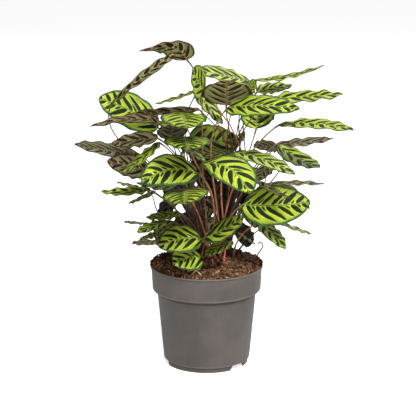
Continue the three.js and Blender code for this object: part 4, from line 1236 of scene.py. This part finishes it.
def stalk_radii(order, height, age_and_shade):
    """Sheathed to a little way up, slender above, and thick again in the knee."""
    share = np.linspace(0, 1, STALK_STEPS + 1)
    slender = STALK_SLENDER - OLD_THINNER * age_and_shade - STALK_TAPER * share
    sheath_end = SHEATH_END + SHEATH_LONGER * (0.5 + 0.5 * math.sin(5.1 * order))
    sheath = SHEATH_THICKNESS * np.clip((sheath_end - share) / 0.02, 0, 1) * (1 - 0.8 * share)
    knee = KNEE_THICKNESS * np.exp(-(((1 - share) * height - KNEE_DROP) / KNEE_REACH) ** 2)
    return slender + sheath + knee


def stalk_age_and_shade(blade, order):
    """0 for the young, lit rust-coloured stalks in front, near 1 for the older, thinner ones,
    painted dark with shade low down.
    """
    if blade.fused or blade.joint[1] > YOUNG_LIT_FRONT:
        return 1.0 if order % 6 else 0.5
    if blade.joint[0] < OLD_SHADED_LEFT:
        return 0.9
    return 0.0 if order % 2 == 0 else 0.88


def stalk_finish():
    """Rust-brown below and olive under the blade, darkened low down with painted shade, ribbed
    lengthwise and a little glossy.
    """
    finish = Finish("stalk_skin", Specular_IOR_Level=0.4, Subsurface_Weight=0.08,
                    Subsurface_Scale=0.001)
    share, age_and_shade = mapped(finish, "stalk")
    place = finish.place()
    tone = finish.noise(finish.place((1, 1, 0.3)), 260.0, 3.0)
    rust = finish.mix(finish.step(tone, 0.35, 0.7), colour(STALK_BROWN), colour(STALK_RUST))
    green = finish.line(tone, 0.3, share)
    body = finish.mix(finish.step(green, 0.8, 1.05), rust, colour(STALK_OLIVE))
    pink = finish.step(finish.math("ADD", share, tone), 0.58, 0.42)
    body = finish.mix(finish.times(pink, 0.3), body, colour(SHEATH_PINK))
    # painted shade: the older stalks are darkened below their upper parts, and every stalk at its
    # foot, where the crown lies in shade
    upper = finish.line(finish.step(share, 0.5, 0.85), -0.45, 1.0)
    foot = finish.times(finish.step(share, 0.22, 0.02), 0.6)
    stalk_shade_share = finish.math("MAXIMUM", finish.times(age_and_shade, upper), foot)
    finish.set(Base_Color=finish.mix(stalk_shade_share, body, colour(STALK_PAINTED_SHADE)))
    finish.set(Roughness=finish.line(tone, 0.25, 0.36))
    ribs = finish.noise(finish.place((1, 1, 0.05)), 2600.0, 2.0)
    pores = finish.bump(finish.noise(place, 500.0), 0.0002)
    finish.set(Normal=finish.bump(ribs, 0.0002, 0.6, Normal=pores))
    return finish.material


def stalk_piece(name, blades, routes, walls, material):
    points, faces, marks = [], [], []
    for order, (blade, controls) in enumerate(zip(blades, routes)):
        path = stalk_path(blade, controls, walls)
        height = np.linalg.norm(np.diff(path, axis=0), axis=1).sum()
        age_and_shade = stalk_age_and_shade(blade, order)
        own, own_faces = tube(path, stalk_radii(order, height, age_and_shade), STALK_SIDES)
        for face in own_faces:
            marks += [(corner // STALK_SIDES / STALK_STEPS, age_and_shade) for corner in face]
        faces += shifted(own_faces, len(points))
        points += own
    piece = mesh_object(name, points, faces, [material])
    uv_map(piece, "stalk", marks)
    return piece


walls = [solid_wall(blade) for blade in BLADES]
front_row = [blade for blade in BLADES if not blade.fused]
back_row = [blade for blade in BLADES if blade.fused]
front_routes = [stalk_route(blade, k, CLUMP, walls, ()) for k, blade in enumerate(front_row)]
taken = np.vstack([solid_samples(controls) for controls in front_routes])
back_routes = [stalk_route(blade, k, BACK_SHOOT, walls, taken)
               for k, blade in enumerate(back_row)]
stalk_skin = stalk_finish()
for name, row, routes, node in (("stalks", front_row, front_routes, "clump"),
                                ("back_stalks", back_row, back_routes, "back_shoot")):
    stalks = stalk_piece(name, row, routes, walls, stalk_skin)
    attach(stalks, "root")
    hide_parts(node)


# ---- The floor, the lights and the camera ----
# A plain pale floor under soft studio light from the front and above, and a camera a
# little above the plant that looks slightly down on it.


def studio_floor():
    """White, and bright to the camera alone, so that it doesn't light the plant."""
    finish = Finish("pale_floor", Base_Color=colour((250, 250, 250)), Roughness=0.9,
                    Emission_Color=(1, 1, 1, 1))
    seen = finish.node("LightPath", {}).outputs["Is Camera Ray"]
    finish.set(Emission_Strength=finish.times(seen, 0.7))
    size = 30.0
    points = [(-size, -size, 0), (size, -size, 0), (size, size, 0), (-size, size, 0)]
    return mesh_object("studio_floor", points, [(0, 1, 2, 3)], [finish.material])


def stand(name, data, place, target):
    """Puts a lamp or a camera in its place, turned towards its target."""
    thing = bpy.data.objects.new(name, data)
    thing.location = place
    thing.rotation_euler = (Vector(target) - Vector(place)).to_track_quat("-Z", "Y").to_euler()
    scene.collection.objects.link(thing)
    return thing


# name, place, height of the target over the pot's middle, size and power in watts
LIGHTS = [
    ("key", (0.8, -1.5, 2.1), 0.28, 0.6, 53),
    ("left", (-0.7, -0.7, 2.4), 0.3, 0.8, 13),
    ("front", (0.55, -2.2, 0.6), 0.2, 0.9, 12),
    ("sheen", (0.9, 1.9, 1.3), 0.4, 1.2, 14),
]
CAMERA_PLACE = (0, -2.6, 0.92)
CAMERA_TARGET = (0.002, 0, 0.24)

studio_floor()
world = bpy.data.worlds.new("studio_white")
world.use_nodes = True
background = world.node_tree.nodes["Background"].inputs
background["Color"].default_value = (1, 1, 1, 1)
background["Strength"].default_value = 0.2
scene.world = world
for name, place, target_height, size, watts in LIGHTS:
    light = bpy.data.lights.new(name, "AREA")
    light.shape = "DISK"
    light.size = size
    light.energy = watts
    stand(name, light, place, (0, 0, target_height))
scene.view_settings.view_transform = "Standard"

camera = bpy.data.cameras.new("camera")
camera.sensor_width = 36
camera.lens = 155
camera.clip_end = 100
scene.camera = stand("camera", camera, CAMERA_PLACE, CAMERA_TARGET)
